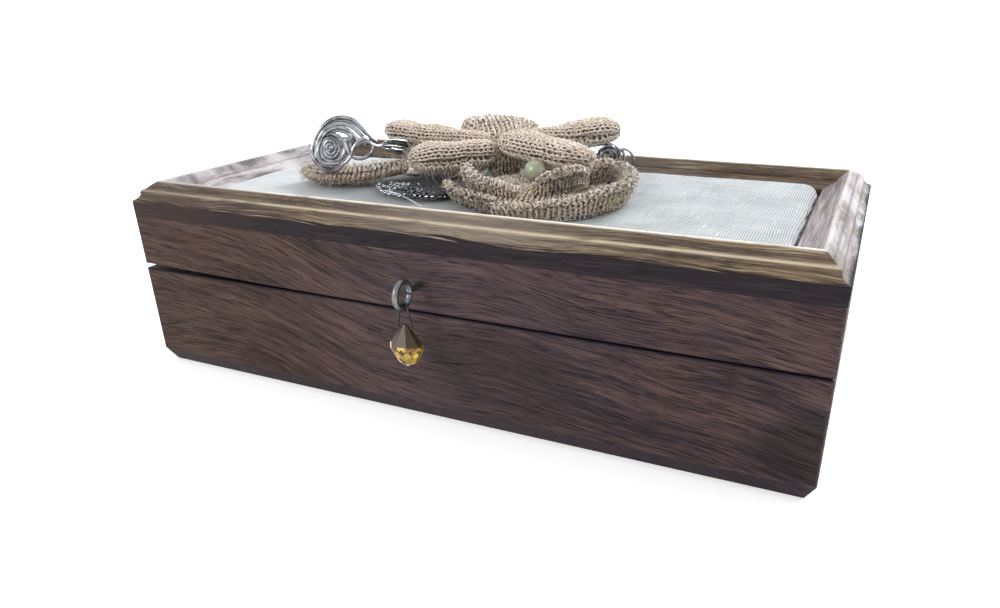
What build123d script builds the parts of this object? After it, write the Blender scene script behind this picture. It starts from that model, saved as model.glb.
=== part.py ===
from build123d import *
import math
import os

# Wooden jewelry box with a hinged lid, in millimetres.
# X runs along the front, Y towards the hinges, Z up. The origin is the middle of the underside.

# Carcass
box_length = 300.0
box_width = 150.0
split_height = 47.3
lid_gap = 0.5
lid_wall_height = 23.85
wall_thickness = 10.0
corner_round = 1.8
edge_round = 0.9
foot_bevel_height = 7.0
foot_bevel_inset = 3.6
foot_quirk = 0.5
floor_thickness = 5.0
floor_rebate = 4.0
fit_clearance = 0.2
lining_thickness = 1.0

# The lid has warped, so its front left corner stands up from the base
warp_lift = 2.0
warp_run = 120.0

# Moulding round the lid: its outside steps up to a ridge, its inside slopes down to the pad
moulding_width = 19.5
fascia_height = 6.3
fascia_quirk = 0.6
cove_inset = 3.3
cove_height = 9.2
cove_sag = 0.35
step_height = 0.9
bead_inset = 5.0
bead_height = 11.6
bead_swell = 0.4
ridge_inset = 8.9
ridge_width = 0.9
ridge_height = 14.6
inner_step_inset = 14.0
inner_step_height = 10.9
inner_step_drop = 0.7
inner_edge_height = 6.9
board_seat = 4.0
board_thickness = 4.6

# Pad in the lid
pad_clearance = 0.3
pad_corner_round = 6.0
pad_edge_height = 2.4
pad_crown = 1.8
pad_edge_round = 1.5
linen_thickness = 0.6

# Hinges
hinge_length = 30.0
hinge_spacing = 180.0
pin_inset = 3.2
stop_angle = 100.0
barrel_radius = 2.4
pin_radius = 1.0
pin_clearance = 0.05
leaf_thickness = 1.1
leaf_width = 4.2
knuckle_count = 5
knuckle_gap = 0.25
barrel_room = 0.35
hinge_screw_spacing = 18.0
hinge_screw_setback = 1.9
screw_head_radius = 1.5
screw_head_depth = 0.7
screw_shank_radius = 0.8
screw_length = 8.0

# Screw eye in the lid's front, with the drop that serves as its pull
eye_height = 59.0
eye_radius = 6.0
eye_wire_radius = 1.2
eye_stand_off = 6.5
eye_opening = 16.0
eye_depth = 8.0
link_wire_radius = 0.45
link_clearance = 0.06
link_length = 10.4
link_half_width = 3.2
drop_hole_clearance = 0.05
drop_neck_height = 1.7
drop_height = 17.0
drop_width = 13.4
drop_depth = 9.4
drop_girdle_height = 8.6
drop_neck_radius = 0.9
drop_girdle_reach = 1.6
drop_pavilion_start = 1.0
drop_pavilion_end = 2.2
drop_pavilion_share = 0.62
drop_foot_start = 2.4
drop_foot_share = 0.68
drop_tip_share = 0.12
drop_facets = 8

# Crocheted flower
flower_x = -8.0
flower_y = 16.0
flower_core_radius = 8.0
flower_core_height = 17.0
flower_core_round = 2.6
petal_root_gap = 0.3
# Each petal's tip, the height of its root, its width, the width of its root, its thickness and its roll
petals = {
    "petal_front_left": ((-46.0, -7.0, 90.6), 91.5, 23.0, 12.0, 12.5, 20.0),
    "petal_back_left": ((-76.0, 24.0, 98.0), 95.5, 18.0, 8.0, 9.0, 3.0),
    "petal_back": ((-35.5, 59.5, 99.5), 96.5, 34.0, 14.0, 11.0, 3.0),
    "petal_back_right": ((36.5, 50.5, 100.5), 97.0, 23.0, 10.0, 11.0, -8.0),
    "petal_front_right": ((40.0, 5.0, 94.5), 95.0, 22.0, 13.0, 10.0, -8.0),
}

# Crocheted rosette: a mat with an upright rim and a strap, and three fans standing on it
rosette_x = 22.0
rosette_y = -12.0
rosette_radius = 29.8
rosette_thickness = 4.0
rim_radius = 38.8
rim_slant = 9.6
rim_thickness = 3.4
rim_lean = 70.0
rim_start = -102.0
rim_sweep = 184.0
strap_x = 41.2
strap_y = 25.5
strap_radius = 74.5
strap_start = 213.5
strap_sweep = 38.0
strap_slant = 7.0
strap_thickness = 3.2
strap_lean = 66.0
fan_slant = 10.5
fan_thickness = 3.0
fan_lean = 69.0
# Each fan's centre, its radius, where it starts and its sweep
fans = [
    ((14.0, -18.6), 17.0, 176.0, 118.0),
    ((28.9, -15.4), 15.0, -96.0, 118.0),
    ((36.5, 4.0), 11.0, -58.0, 112.0),
]

# Trimmings
pearl_radius = 4.9
pearl_x = 16.5
pearl_y = -3.5
jute_leaf_tip = (-105.0, -11.0)
jute_leaf_middle = (-79.0, -22.0)
jute_leaf_root = (-54.0, -2.0)
jute_leaf_width = 15.6
jute_leaf_thickness = 6.2
wire_radius = 0.65
rose_first_radius = 1.7
rose_coil_pitch = 2.2
rose_half_turns = 11
rose_x = -69.0
rose_y = -22.5
rose_facing = -52.0
rose_lean_back = 6.0
stem_loop_radius = 5.0
stem_loop_reach = 21.0
stem_loop_width = 6.0
stem_heading = 52.0
stem_rise = 3.0
stem_shift = 7.0
stem_overlap = 0.2
shell_radius = 8.0
shell_thickness = 1.6
shell_x = -56.0
shell_y = 17.0
filigree_length = 40.0
filigree_width = 16.0
filigree_thickness = 1.2
filigree_tip_x = -54.0
filigree_tip_y = -22.0
filigree_heading = -18.0
cluster_x = 40.0
cluster_y = 37.0
cluster_half_turns = 6
cluster_first_radius = 1.6
cluster_pitch = 2.4
cluster_facing = -60.0
cluster_ring_radius = 6.5
seat_gap = 0.3

# Heights and places that follow from the sizes above
base_top = split_height - lid_gap / 2
lid_bottom = split_height + lid_gap / 2
lid_wall_top = lid_bottom + lid_wall_height
board_top = lid_wall_top + board_thickness
pin_y = box_width / 2 - pin_inset
pad_length = box_length - 2 * (moulding_width + pad_clearance)
pad_width = box_width - 2 * (moulding_width + pad_clearance)
pad_top = board_top + pad_edge_height + pad_crown
trim_base = pad_top + seat_gap

# Each side of the carcass: its turn about Z, its length and how far its face lies from the middle
sides = {
    "front": (0, box_length, box_width / 2),
    "right": (90, box_width, box_length / 2),
    "back": (180, box_length, box_width / 2),
    "left": (270, box_width, box_length / 2),
}


def write(node, shape):
    os.makedirs("parts", exist_ok=True)
    export_step(shape, f"parts/{node}.step")


# Carcass sides

def rounded_block(length, width, corner, low, high):
    """A block with rounded upright corners, centred on the Z axis."""
    return Pos(0, 0, low) * extrude(RectangleRounded(length, width, corner), amount=high - low)


def mitred_side(profile, side):
    """One side of a frame: the profile is drawn inwards from the outer face, and both ends are mitred."""
    turn, length, reach = sides[side]
    face = Plane(origin=(0, -reach, 0), x_dir=(0, 1, 0), z_dir=(1, 0, 0))
    bar = extrude(face * profile, amount=length / 2, both=True)
    for end in (-1, 1):
        mitre = Plane(origin=(end * length / 2, -reach, 0), z_dir=(end, 1, 0))
        bar = split(bar, bisect_by=mitre, keep=Keep.BOTTOM)
    return Rot(0, 0, turn) * bar


def base_profile():
    inner = wall_thickness - floor_rebate
    section = Polygon(
        (0, base_top),
        (wall_thickness, base_top),
        (wall_thickness, floor_thickness),
        (inner, floor_thickness),
        (inner, 0),
        (foot_bevel_inset, 0),
        (foot_quirk, foot_bevel_height - foot_quirk),
        (0, foot_bevel_height),
        align=None,
    )
    outer_edge = section.vertices().sort_by_distance((0, base_top))[0]
    return fillet(outer_edge, edge_round)


def lid_profile():
    section = Polygon(
        (0, lid_bottom),
        (wall_thickness, lid_bottom),
        (wall_thickness, lid_wall_top),
        (0, lid_wall_top),
        align=None,
    )
    outer_edge = section.vertices().sort_by_distance((0, lid_bottom))[0]
    return fillet(outer_edge, edge_round)


def moulding_profile():
    """From the fascia up over a cove, a step and a bead to the ridge, and down to the pad."""
    low = lid_wall_top
    fascia_top = (0, low + fascia_height)
    cove_foot = (fascia_quirk, low + fascia_height + fascia_quirk)
    cove_top = (cove_inset, low + cove_height)
    bead_foot = (cove_inset, low + cove_height + step_height)
    bead_top = (bead_inset, low + bead_height)
    ridge = (ridge_inset, low + ridge_height)
    ridge_end = (ridge_inset + ridge_width, low + ridge_height)
    inner_step = (inner_step_inset, low + inner_step_height)
    inner_step_foot = (inner_step_inset, low + inner_step_height - inner_step_drop)
    inner_edge = (moulding_width, low + inner_edge_height)
    seat = wall_thickness - board_seat
    outline = [
        Line((0, low), fascia_top),
        Line(fascia_top, cove_foot),
        SagittaArc(cove_foot, cove_top, -cove_sag),
        Line(cove_top, bead_foot),
        SagittaArc(bead_foot, bead_top, bead_swell),
        Line(bead_top, ridge),
        Line(ridge, ridge_end),
        Line(ridge_end, inner_step),
        Line(inner_step, inner_step_foot),
        Line(inner_step_foot, inner_edge),
        Polyline(inner_edge, (moulding_width, board_top), (seat, board_top), (seat, low), (0, low)),
    ]
    section = make_face(Wire([edge for line in outline for edge in line.edges()]))
    ridge_corners = section.vertices().group_by(Axis.Y)[-1]
    return fillet(ridge_corners, ridge_width / 3)


def stop_groove():
    """The V along the back of the joint: its faces meet when the lid is fully open."""
    reach = 2 * pin_inset
    rise = reach * math.tan(math.radians(stop_angle / 2))
    back = Plane(origin=(0, pin_y, split_height), x_dir=(0, 1, 0), z_dir=(1, 0, 0))
    wedge = Polygon((0, 0), (reach, -rise), (reach, rise), align=None)
    return extrude(back * wedge, amount=box_length, both=True)


def warp_plane():
    """The lid's warped lower edge: level at the back and past the warp's run, highest at the front left."""
    corner = Vector(-box_length / 2, -box_width / 2, lid_bottom + warp_lift)
    back = Vector(0, box_width, -warp_lift)
    along = Vector(warp_run, 0, -warp_lift)
    return Plane(origin=corner, z_dir=along.cross(back))


def hinge_places():
    return {"left": -hinge_spacing / 2, "right": hinge_spacing / 2}


def barrel_space(x):
    """The round recess that both back walls have for a hinge's barrel."""
    axis = Plane(origin=(x, pin_y, split_height), z_dir=(1, 0, 0))
    round_space = axis * Circle(barrel_radius + barrel_room)
    return extrude(round_space, amount=hinge_length / 2 + barrel_room, both=True)


def mortise(x, above):
    """The shallow housing of one hinge leaf, in the lid's lower edge or the base's top edge."""
    edge = lid_bottom if above else base_top - leaf_thickness
    depth = leaf_width + barrel_radius
    return Pos(x, pin_y - depth / 2, edge + leaf_thickness / 2) * Box(hinge_length, depth, leaf_thickness)


def screw_spots(x):
    y = pin_y - barrel_radius - barrel_room - hinge_screw_setback
    return [(x + side * hinge_screw_spacing / 2, y) for side in (-1, 1)]


def hinge_screw(x, y, above):
    """A countersunk screw, drawn head up for the base and turned over for the lid."""
    below = (Align.CENTER, Align.CENTER, Align.MAX)
    head = Cone(screw_shank_radius, screw_head_radius, screw_head_depth, align=below)
    shank = Cylinder(screw_shank_radius, screw_length, align=below)
    turn = 180 if above else 0
    return Pos(x, y, lid_bottom if above else base_top) * Rot(turn, 0, 0) * (head + shank)


def hinge_screws(above):
    return [hinge_screw(*spot, above) for x in hinge_places().values() for spot in screw_spots(x)]


def eye_shank():
    """The straight part of the screw eye, from the ring into the wall."""
    face = Plane(origin=(0, -box_width / 2 - eye_stand_off - eye_wire_radius, eye_height), z_dir=(0, 1, 0))
    return extrude(face * Circle(eye_wire_radius), amount=eye_wire_radius + eye_stand_off + eye_depth)


def make_carcass():
    shell = rounded_block(box_length, box_width, corner_round, 0, lid_wall_top + ridge_height)
    groove = stop_groove()
    base_cuts = [groove] + hinge_screws(False)
    lid_cuts = [groove] + hinge_screws(True)
    for x in hinge_places().values():
        base_cuts += [barrel_space(x), mortise(x, False)]
        lid_cuts += [barrel_space(x), mortise(x, True)]
    for side in sides:
        at_back = side == "back"
        base_wall = mitred_side(base_profile(), side) & shell
        lid_wall = mitred_side(lid_profile(), side) & shell
        if side != "front":
            base_wall -= base_cuts if at_back else groove
            lid_wall -= lid_cuts if at_back else groove
        if side in ("front", "left"):
            lid_wall = split(lid_wall, bisect_by=warp_plane(), keep=Keep.TOP)
        if side == "front":
            lid_wall -= eye_shank()
        write(f"base_{side}_wall", base_wall)
        write(f"lid_{side}_wall", lid_wall)
        write(f"moulding_{side}", mitred_side(moulding_profile(), side) & shell)


# Floor, lid board and pad

def make_boards():
    floor_inset = wall_thickness - floor_rebate + fit_clearance
    floor = Box(box_length - 2 * floor_inset, box_width - 2 * floor_inset, floor_thickness)
    write("base_floor", Pos(0, 0, floor_thickness / 2) * floor)
    lining_inset = wall_thickness + fit_clearance
    lining = Box(box_length - 2 * lining_inset, box_width - 2 * lining_inset, lining_thickness)
    write("base_lining", Pos(0, 0, floor_thickness + lining_thickness / 2) * lining)
    board_inset = wall_thickness - board_seat + fit_clearance
    board = Box(box_length - 2 * board_inset, box_width - 2 * board_inset, board_thickness)
    write("lid_board", Pos(0, 0, lid_wall_top + board_thickness / 2) * board)


def crown_radius_of(width):
    """The radius of an arc that rises by the pad's crown over this width."""
    return ((width / 2) ** 2 + pad_crown**2) / (2 * pad_crown)


def pad_surface(y):
    """How high the linen lies at this distance from the pad's middle."""
    radius = crown_radius_of(pad_width)
    return pad_top - radius + math.sqrt(radius**2 - y**2)


def crowned_pad(inset):
    """A pad with rounded corners and rolled edges, crowned over its width. Inset draws it in from the linen."""
    crown_radius = crown_radius_of(pad_width - 2 * inset)
    top = pad_top - inset
    block = rounded_block(
        pad_length - 2 * inset, pad_width - 2 * inset, pad_corner_round - inset, board_top, top + pad_crown
    )
    crown = Pos(0, 0, top - crown_radius) * Rot(0, 90, 0) * Cylinder(crown_radius, pad_length)
    pad = block & crown
    rolled = [edge for edge in pad.edges() if edge.bounding_box().min.Z > board_top + pad_edge_height / 2]
    return fillet(rolled, pad_edge_round - inset / 2)


def make_pad():
    filling = crowned_pad(linen_thickness)
    write("lid_wadding", filling)
    write("linen_cover", crowned_pad(0) - filling)


# Hinges

def knuckle_spans(x, first):
    """The stretches of the pin that one leaf's knuckles take: every other one, from the first."""
    pitch = hinge_length / knuckle_count
    start = x - hinge_length / 2
    return [(start + i * pitch, start + (i + 1) * pitch) for i in range(first, knuckle_count, 2)]


def along_pin(radius, span, room=0.0):
    axis = Plane(origin=(span[0] - room, pin_y, split_height), z_dir=(1, 0, 0))
    return extrude(axis * Circle(radius), amount=span[1] - span[0] + 2 * room)


def hinge_leaf(x, above):
    own, other = (1, 0) if above else (0, 1)
    leaf = mortise(x, above)
    for span in knuckle_spans(x, own):
        shrink = (span[0] + knuckle_gap / 2, span[1] - knuckle_gap / 2)
        leaf += along_pin(barrel_radius, shrink)
    for span in knuckle_spans(x, other):
        leaf -= along_pin(barrel_radius + barrel_room, span, knuckle_gap / 2)
    whole = (x - hinge_length / 2, x + hinge_length / 2)
    bore = pin_radius + pin_clearance if above else pin_radius
    leaf -= along_pin(bore, whole, knuckle_gap)
    for spot in screw_spots(x):
        leaf -= hinge_screw(*spot, above)
    return leaf


def make_hinges():
    for name, x in hinge_places().items():
        write(f"hinge_{name}_base_leaf", hinge_leaf(x, False))
        write(f"hinge_{name}_lid_leaf", hinge_leaf(x, True))
        write(f"hinge_{name}_pin", along_pin(pin_radius, (x - hinge_length / 2, x + hinge_length / 2)))
    write("base_hinge_screws", Compound(hinge_screws(False)))
    write("lid_hinge_screws", Compound(hinge_screws(True)))


# Screw eye, link and drop

ring_y = -box_width / 2 - eye_stand_off - eye_radius
ring_mean_radius = eye_radius - eye_wire_radius
ring_foot = eye_height - ring_mean_radius
link_bend_radius = eye_wire_radius + link_clearance + link_wire_radius
link_foot = ring_foot + link_bend_radius - link_length


def make_screw_eye():
    """A ring of wire that closes just short of its own shank."""
    section = Plane.XZ * Pos(ring_mean_radius, 0) * Circle(eye_wire_radius)
    ring = revolve(section, Axis.Z, revolution_arc=360 - eye_opening)
    standing = Plane(origin=(0, ring_y, eye_height), x_dir=(0, 1, 0), z_dir=(1, 0, 0))
    write("screw_eye", standing.location * ring + eye_shank())


def make_link():
    """A closed loop: a half ring over the eye's wire, and a bow whose straight foot runs through the drop."""
    bend = revolve(Plane.XZ * Pos(link_bend_radius, 0) * Circle(link_wire_radius), Axis.Z, revolution_arc=180)
    standing = Plane(origin=(0, ring_y, ring_foot), x_dir=(1, 0, 0), z_dir=(0, -1, 0))
    foot = link_foot - ring_foot
    corner = link_half_width / 3
    bow = FilletPolyline(
        (-link_bend_radius, 0),
        (-link_half_width, foot),
        (link_half_width, foot),
        (link_bend_radius, 0),
        radius=corner,
    )
    section = Plane(origin=bow @ 0, z_dir=bow % 0) * Circle(link_wire_radius)
    write("pendant_link", standing.location * (bend + sweep(section, path=bow)))


def make_drop():
    """A pear cut: rows of facets from the pointed neck over the girdle to the foot, cut from a block."""
    top = link_foot + drop_neck_height
    foot = top - drop_height
    girdle = foot + drop_girdle_height
    half, flat = drop_width / 2, drop_depth / drop_width
    # Each row: two heights and the half widths there, which set its slope
    rows = [
        ((top, drop_neck_radius), (girdle, half)),
        ((girdle + drop_girdle_reach, half), (girdle - drop_girdle_reach, half)),
        ((girdle - drop_pavilion_start, half), (foot + drop_pavilion_end, half * drop_pavilion_share)),
        ((foot + drop_foot_start, half * drop_foot_share), (foot, half * drop_tip_share)),
    ]
    stone = Pos(0, ring_y, top - drop_height / 2) * Box(drop_width, drop_depth, drop_height)
    for row, ((z_high, r_high), (z_low, r_low)) in enumerate(rows):
        rise = (r_low - r_high) / (z_high - z_low)
        for i in range(drop_facets):
            turn = math.pi * (2 * i + row % 2) / drop_facets
            away = Vector(math.cos(turn), math.sin(turn) / flat, rise)
            on = Vector(r_high * math.cos(turn), ring_y + r_high * flat * math.sin(turn), z_high)
            stone = split(stone, bisect_by=Plane(origin=on, z_dir=away), keep=Keep.BOTTOM)
    hole = Cylinder(link_wire_radius + drop_hole_clearance, drop_width)
    write("crystal_drop", stone - Pos(0, ring_y, link_foot) * Rot(0, 90, 0) * hole)


# Crochet and other trimmings on the pad

def pointed(root, tip):
    """A plane at the root whose X runs to the tip and whose Z is as near upright as can be."""
    along = Vector(*tip) - Vector(*root)
    across = Vector(0, 0, 1).cross(along)
    return Plane(origin=root, x_dir=along, z_dir=along.cross(across)), along.length


def plump(reach, root_radius, tip_radius, thickness):
    """A petal stuffed by its own stitches: a teardrop outline turned about its length and flattened."""
    ends = Pos(root_radius, 0) * Circle(root_radius), Pos(reach - tip_radius, 0) * Circle(tip_radius)
    outline = make_hull(ends[0].edges() + ends[1].edges())
    half = outline & Pos(reach / 2, reach / 2) * Rectangle(2 * reach, reach)
    return scale(revolve(half, Axis.X), by=(1, 1, thickness / (2 * tip_radius)))


def make_flower():
    core = Cylinder(flower_core_radius, flower_core_height, align=(Align.CENTER, Align.CENTER, Align.MIN))
    core = fillet(core.edges().filter_by(GeomType.CIRCLE), flower_core_round)
    write("flower_core", Pos(flower_x, flower_y, trim_base) * core)
    for name, (tip, root_height, width, root_width, thickness, roll) in petals.items():
        heading = Vector(tip[0] - flower_x, tip[1] - flower_y).normalized()
        start = Vector(flower_x, flower_y) + heading * (flower_core_radius + petal_root_gap)
        plane, reach = pointed((start.X, start.Y, root_height), tip)
        write(name, plane.location * Rot(roll, 0, 0) * plump(reach, root_width / 2, width / 2, thickness))


def crochet_band(radius, start, turn, slant, thickness, lean):
    """A curved band of stitches that leans outwards, on the ground plane and centred on the origin."""
    middle_height = (slant - thickness) / 2 * math.sin(math.radians(lean)) + thickness / 2
    section = Plane.XZ * Pos(radius, middle_height) * Rot(0, 0, lean) * SlotOverall(slant, thickness)
    return Rot(0, 0, start) * revolve(section, Axis.Z, revolution_arc=turn)


def make_rosette():
    base = Cylinder(rosette_radius, rosette_thickness, align=(Align.CENTER, Align.CENTER, Align.MIN))
    write("rosette_base", Pos(rosette_x, rosette_y, trim_base) * base)
    level = trim_base + rosette_thickness + seat_gap
    rim = crochet_band(rim_radius, rim_start, rim_sweep, rim_slant, rim_thickness, rim_lean)
    write("rosette_rim", Pos(rosette_x, rosette_y, trim_base) * rim)
    strap = crochet_band(strap_radius, strap_start, strap_sweep, strap_slant, strap_thickness, strap_lean)
    write("rosette_inner_band", Pos(strap_x, strap_y, trim_base) * strap)
    upright = []
    for (x, y), radius, start, turn in fans:
        fan = crochet_band(radius, start, turn, fan_slant, fan_thickness, fan_lean)
        upright.append(Pos(x, y, level) * fan)
    write("rosette_scallops", Compound(upright))
    write("pearl_bead", Pos(pearl_x, pearl_y, level + pearl_radius) * Sphere(pearl_radius))


def coil_path(first_radius, pitch, half_turns):
    """A flat coil of half circles, each wider than the last."""
    path = []
    point, heading, radius = Vector(first_radius, 0), Vector(0, 1), first_radius
    for i in range(half_turns):
        arc = JernArc(start=point, tangent=heading, radius=radius, arc_size=180)
        path.append(arc)
        point, heading, radius = arc @ 1, arc % 1, radius + pitch / 2
    return Wire([edge for arc in path for edge in arc.edges()])


def bent_wire(path, plane):
    """Round wire along a flat path, laid on the given plane."""
    start, heading = path @ 0, path % 0
    section = Plane(origin=start, z_dir=heading) * Circle(wire_radius)
    return plane.location * sweep(section, path=path)


def facing_plane(origin, facing, lean_back=0.0):
    """An upright plane that faces a compass angle, its X to the right of whoever looks at it."""
    turn, lean = math.radians(facing), math.radians(lean_back)
    look = Vector(math.cos(turn) * math.cos(lean), math.sin(turn) * math.cos(lean), math.sin(lean))
    return Plane(origin=origin, x_dir=Vector(0, 0, 1).cross(look), z_dir=look)


def coil_depth(first_radius, pitch, half_turns):
    """How far the middle of a coil's wire reaches below the coil's own middle."""
    last_lower = half_turns // 2 * 2 - 1
    return first_radius + pitch / 2 * last_lower


def make_wire_trims():
    lean = math.radians(rose_lean_back)
    depth = coil_depth(rose_first_radius, rose_coil_pitch, rose_half_turns) * math.cos(lean)
    leaf_top = trim_base + jute_leaf_thickness
    rose_height = leaf_top + seat_gap + wire_radius + depth
    plane = facing_plane((rose_x, rose_y, rose_height), rose_facing, rose_lean_back)
    write("wire_rose", bent_wire(coil_path(rose_first_radius, rose_coil_pitch, rose_half_turns), plane))
    # The stem: a round loop behind the rose and a long one that runs under the petals
    level = leaf_top + seat_gap + wire_radius + stem_rise
    heading = Vector(1, 0).rotate(Axis.Z, stem_heading)
    behind = stem_loop_radius + 2 * wire_radius + seat_gap - (rose_height - level) * math.tan(lean)
    away = facing_plane((0, 0, 0), rose_facing).z_dir
    middle = Vector(rose_x, rose_y) + plane.x_dir * stem_shift - away * behind
    stem = Pos(middle.X, middle.Y, level) * Torus(stem_loop_radius, wire_radius)
    twist = middle + heading * (stem_loop_radius + stem_overlap)
    lay = Plane(origin=(twist.X, twist.Y, level), x_dir=heading, z_dir=(0, 0, 1))
    for bulge in (-1, 1):
        stem += bent_wire(SagittaArc((0, 0), (stem_loop_reach, 0), bulge * stem_loop_width / 2), lay)
    write("wire_stem", stem)
    # The cluster: a standing coil with a ring of the same wire beside it
    depth = coil_depth(cluster_first_radius, cluster_pitch, cluster_half_turns)
    cluster_height = pad_surface(cluster_y) + seat_gap + wire_radius + depth
    plane = facing_plane((cluster_x, cluster_y, cluster_height), cluster_facing)
    cluster = bent_wire(coil_path(cluster_first_radius, cluster_pitch, cluster_half_turns), plane)
    beside = depth + cluster_ring_radius - wire_radius
    ring = Pos(beside, cluster_ring_radius - depth) * Torus(cluster_ring_radius, wire_radius)
    write("wire_cluster", cluster + plane.location * ring)


def make_leaves_and_beads():
    spine = ThreePointArc(jute_leaf_tip, jute_leaf_middle, jute_leaf_root)
    start = Plane(origin=spine @ 0, x_dir=(0, 0, 1), z_dir=spine % 0)
    section = start * Ellipse(jute_leaf_thickness / 2, jute_leaf_width / 2)
    leaf = sweep(section, path=spine)
    write("jute_leaf", Pos(0, 0, trim_base + jute_leaf_thickness / 2) * leaf)
    lower = SagittaArc((0, 0), (filigree_length, 0), filigree_width / 2)
    upper = SagittaArc((filigree_length, 0), (0, 0), filigree_width / 2)
    blade = make_face([lower, upper])
    place = Pos(filigree_tip_x, filigree_tip_y, trim_base) * Rot(0, 0, filigree_heading)
    write("filigree_leaf", place * extrude(blade, amount=filigree_thickness))
    disc = Cylinder(shell_radius, shell_thickness, align=(Align.CENTER, Align.CENTER, Align.MIN))
    write("shell_disc", Pos(shell_x, shell_y, trim_base) * disc)


make_carcass()
make_boards()
make_pad()
make_hinges()
make_screw_eye()
make_link()
make_drop()
make_flower()
make_rosette()
make_wire_trims()
make_leaves_and_beads()
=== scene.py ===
"""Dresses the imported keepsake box: woods, linen pad, crochet flower and rosette, wire, lace and crystal pull."""

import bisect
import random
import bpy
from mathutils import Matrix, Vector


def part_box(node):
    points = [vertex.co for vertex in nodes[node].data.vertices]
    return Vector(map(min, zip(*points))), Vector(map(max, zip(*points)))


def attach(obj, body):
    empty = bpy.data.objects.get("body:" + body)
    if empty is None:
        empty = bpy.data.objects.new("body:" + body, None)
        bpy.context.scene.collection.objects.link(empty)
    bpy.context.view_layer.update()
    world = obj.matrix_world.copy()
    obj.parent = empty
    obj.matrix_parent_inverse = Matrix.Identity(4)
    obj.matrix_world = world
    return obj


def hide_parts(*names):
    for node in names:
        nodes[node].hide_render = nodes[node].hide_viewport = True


bl_info = {
    "name": "Keepsake Box with a Crochet Lid",
    "version": (1, 0, 0),
    "blender": (4, 5, 0),
    "location": "View3D > Sidebar > Keepsake Box",
    "description": "Builds the finishes and the soft and wire trimmings of a hinged wooden box",
    "category": "Object",
}

from math import copysign, cos, exp, hypot, pi, radians, sin, sqrt

import bmesh
import bpy
from mathutils import Matrix, Quaternion, Vector, noise

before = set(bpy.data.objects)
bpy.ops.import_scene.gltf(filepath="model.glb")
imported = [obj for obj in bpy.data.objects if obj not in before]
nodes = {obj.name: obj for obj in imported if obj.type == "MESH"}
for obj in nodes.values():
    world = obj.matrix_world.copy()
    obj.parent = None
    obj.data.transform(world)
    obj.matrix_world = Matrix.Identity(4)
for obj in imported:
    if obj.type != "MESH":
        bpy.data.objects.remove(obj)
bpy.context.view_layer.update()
# Without a seed, noise_vector takes its offsets from the clock
noise.seed_set(7)

MM = 0.001
UP = Vector((0, 0, 1))
TURN = 2 * pi
LOOP_POINTS = 10  # of one stitch
SKIN_STEPS = 160  # for measuring along and round a petal
# Levels and faces of the box that the patterns keep to, in millimetres
PAD_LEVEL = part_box("flower_core")[0].z / MM
BOARD_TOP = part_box("linen_cover")[0].z / MM
WALL_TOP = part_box("lid_front_wall")[1].z / MM
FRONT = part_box("base_front_wall")[0].y / MM
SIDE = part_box("base_right_wall")[1].x / MM


def linear(*shown):
    """A colour given as 0 to 255 on a screen, as the linear numbers that a material takes."""
    parts = [value / 255 for value in shown]
    return tuple(v / 12.92 if v <= 0.04045 else ((v + 0.055) / 1.055) ** 2.4 for v in parts)


def length(name, default, description):
    return bpy.props.FloatProperty(
        name=name, description=description, default=default, unit="LENGTH", subtype="DISTANCE", precision=5
    )


def tint(name, description, *shown):
    return bpy.props.FloatVectorProperty(
        name=name, description=description, default=linear(*shown), subtype="COLOR", size=3, min=0, max=1
    )


class BoxSizes(bpy.types.PropertyGroup):
    yarn_radius: length("Yarn radius", 0.00056, "Half the thickness of the crochet yarn")
    stitch_width: length("Stitch width", 0.0031, "Width of one stitch of the petals")
    stitch_height: length("Stitch height", 0.0025, "Height of one row of the petals")
    chain_radius: length("Chain yarn radius", 0.00072, "Half the thickness of the yarn of the rosette")
    chain_width: length("Chain width", 0.0042, "Width of one stitch of the rosette")
    chain_height: length("Chain height", 0.0034, "Height of one row of the rosette")
    fibre_radius: length("Fibre radius", 0.00007, "Half the thickness of a loose fibre")
    wire_radius: length("Wire radius", 0.00082, "Half the thickness of the silver wire")
    weave_pitch: length("Weave pitch", 0.00095, "Distance from one linen thread to the next")
    pad_tuck: length("Pad tuck", 0.0012, "How far the linen draws in from the moulding")
    pad_crown: length("Pad crown", 0.0018, "How far the pad rises in its middle")
    shell_ridge: length("Shell ridge", 0.0004, "Height of the ridges on the shell disc")


class BoxColours(bpy.types.PropertyGroup):
    walnut_dark: tint("Walnut dark", "Dark streaks of the walls", 14, 8, 13)
    walnut: tint("Walnut", "Middle tone of the walls", 45, 31, 33)
    walnut_light: tint("Walnut light", "Light streaks of the walls", 88, 68, 60)
    walnut_warm: tint("Walnut warm", "Reddish patches of the walls", 66, 42, 31)
    moulding_dark: tint("Moulding dark", "Dark streaks of the moulding", 58, 42, 32)
    moulding: tint("Moulding", "Middle tone of the moulding", 102, 82, 60)
    # Moulding light also gives the painted highlight along the bead
    moulding_light: tint("Moulding light", "Rubbed edges of the moulding", 196, 182, 154)
    fascia: tint("Fascia", "Dark stained band under the moulding", 20, 13, 24)
    board: tint("Board", "Bare board", 158, 128, 92)
    lining: tint("Lining", "Felt lining", 58, 40, 42)
    linen: tint("Linen", "Light threads of the linen", 220, 224, 225)
    linen_shade: tint("Linen shade", "Darker threads of the linen", 136, 140, 142)
    jute: tint("Jute", "Middle tone of the crochet", 216, 202, 187)
    jute_light: tint("Jute light", "Light fibres of the crochet", 248, 240, 230)
    # Jute dark is the darkest fibre tone; darkened copies of the yarn paint the shade under the stitches
    jute_dark: tint("Jute dark", "Deep parts of the crochet", 128, 106, 86)
    brass: tint("Brass", "Aged hinges", 176, 142, 84)
    steel: tint("Steel", "Screw eye", 132, 134, 136)
    silver: tint("Silver", "Bright wire", 172, 174, 178)
    pearl: tint("Pearl", "Pearl bead", 160, 162, 138)
    shell: tint("Shell", "Shell disc", 232, 224, 196)
    amber: tint("Amber", "Top of the crystal", 168, 138, 104)
    # Gold also colours the crystal's painted glints
    gold: tint("Gold", "Bright facets of the crystal", 238, 196, 84)


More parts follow.
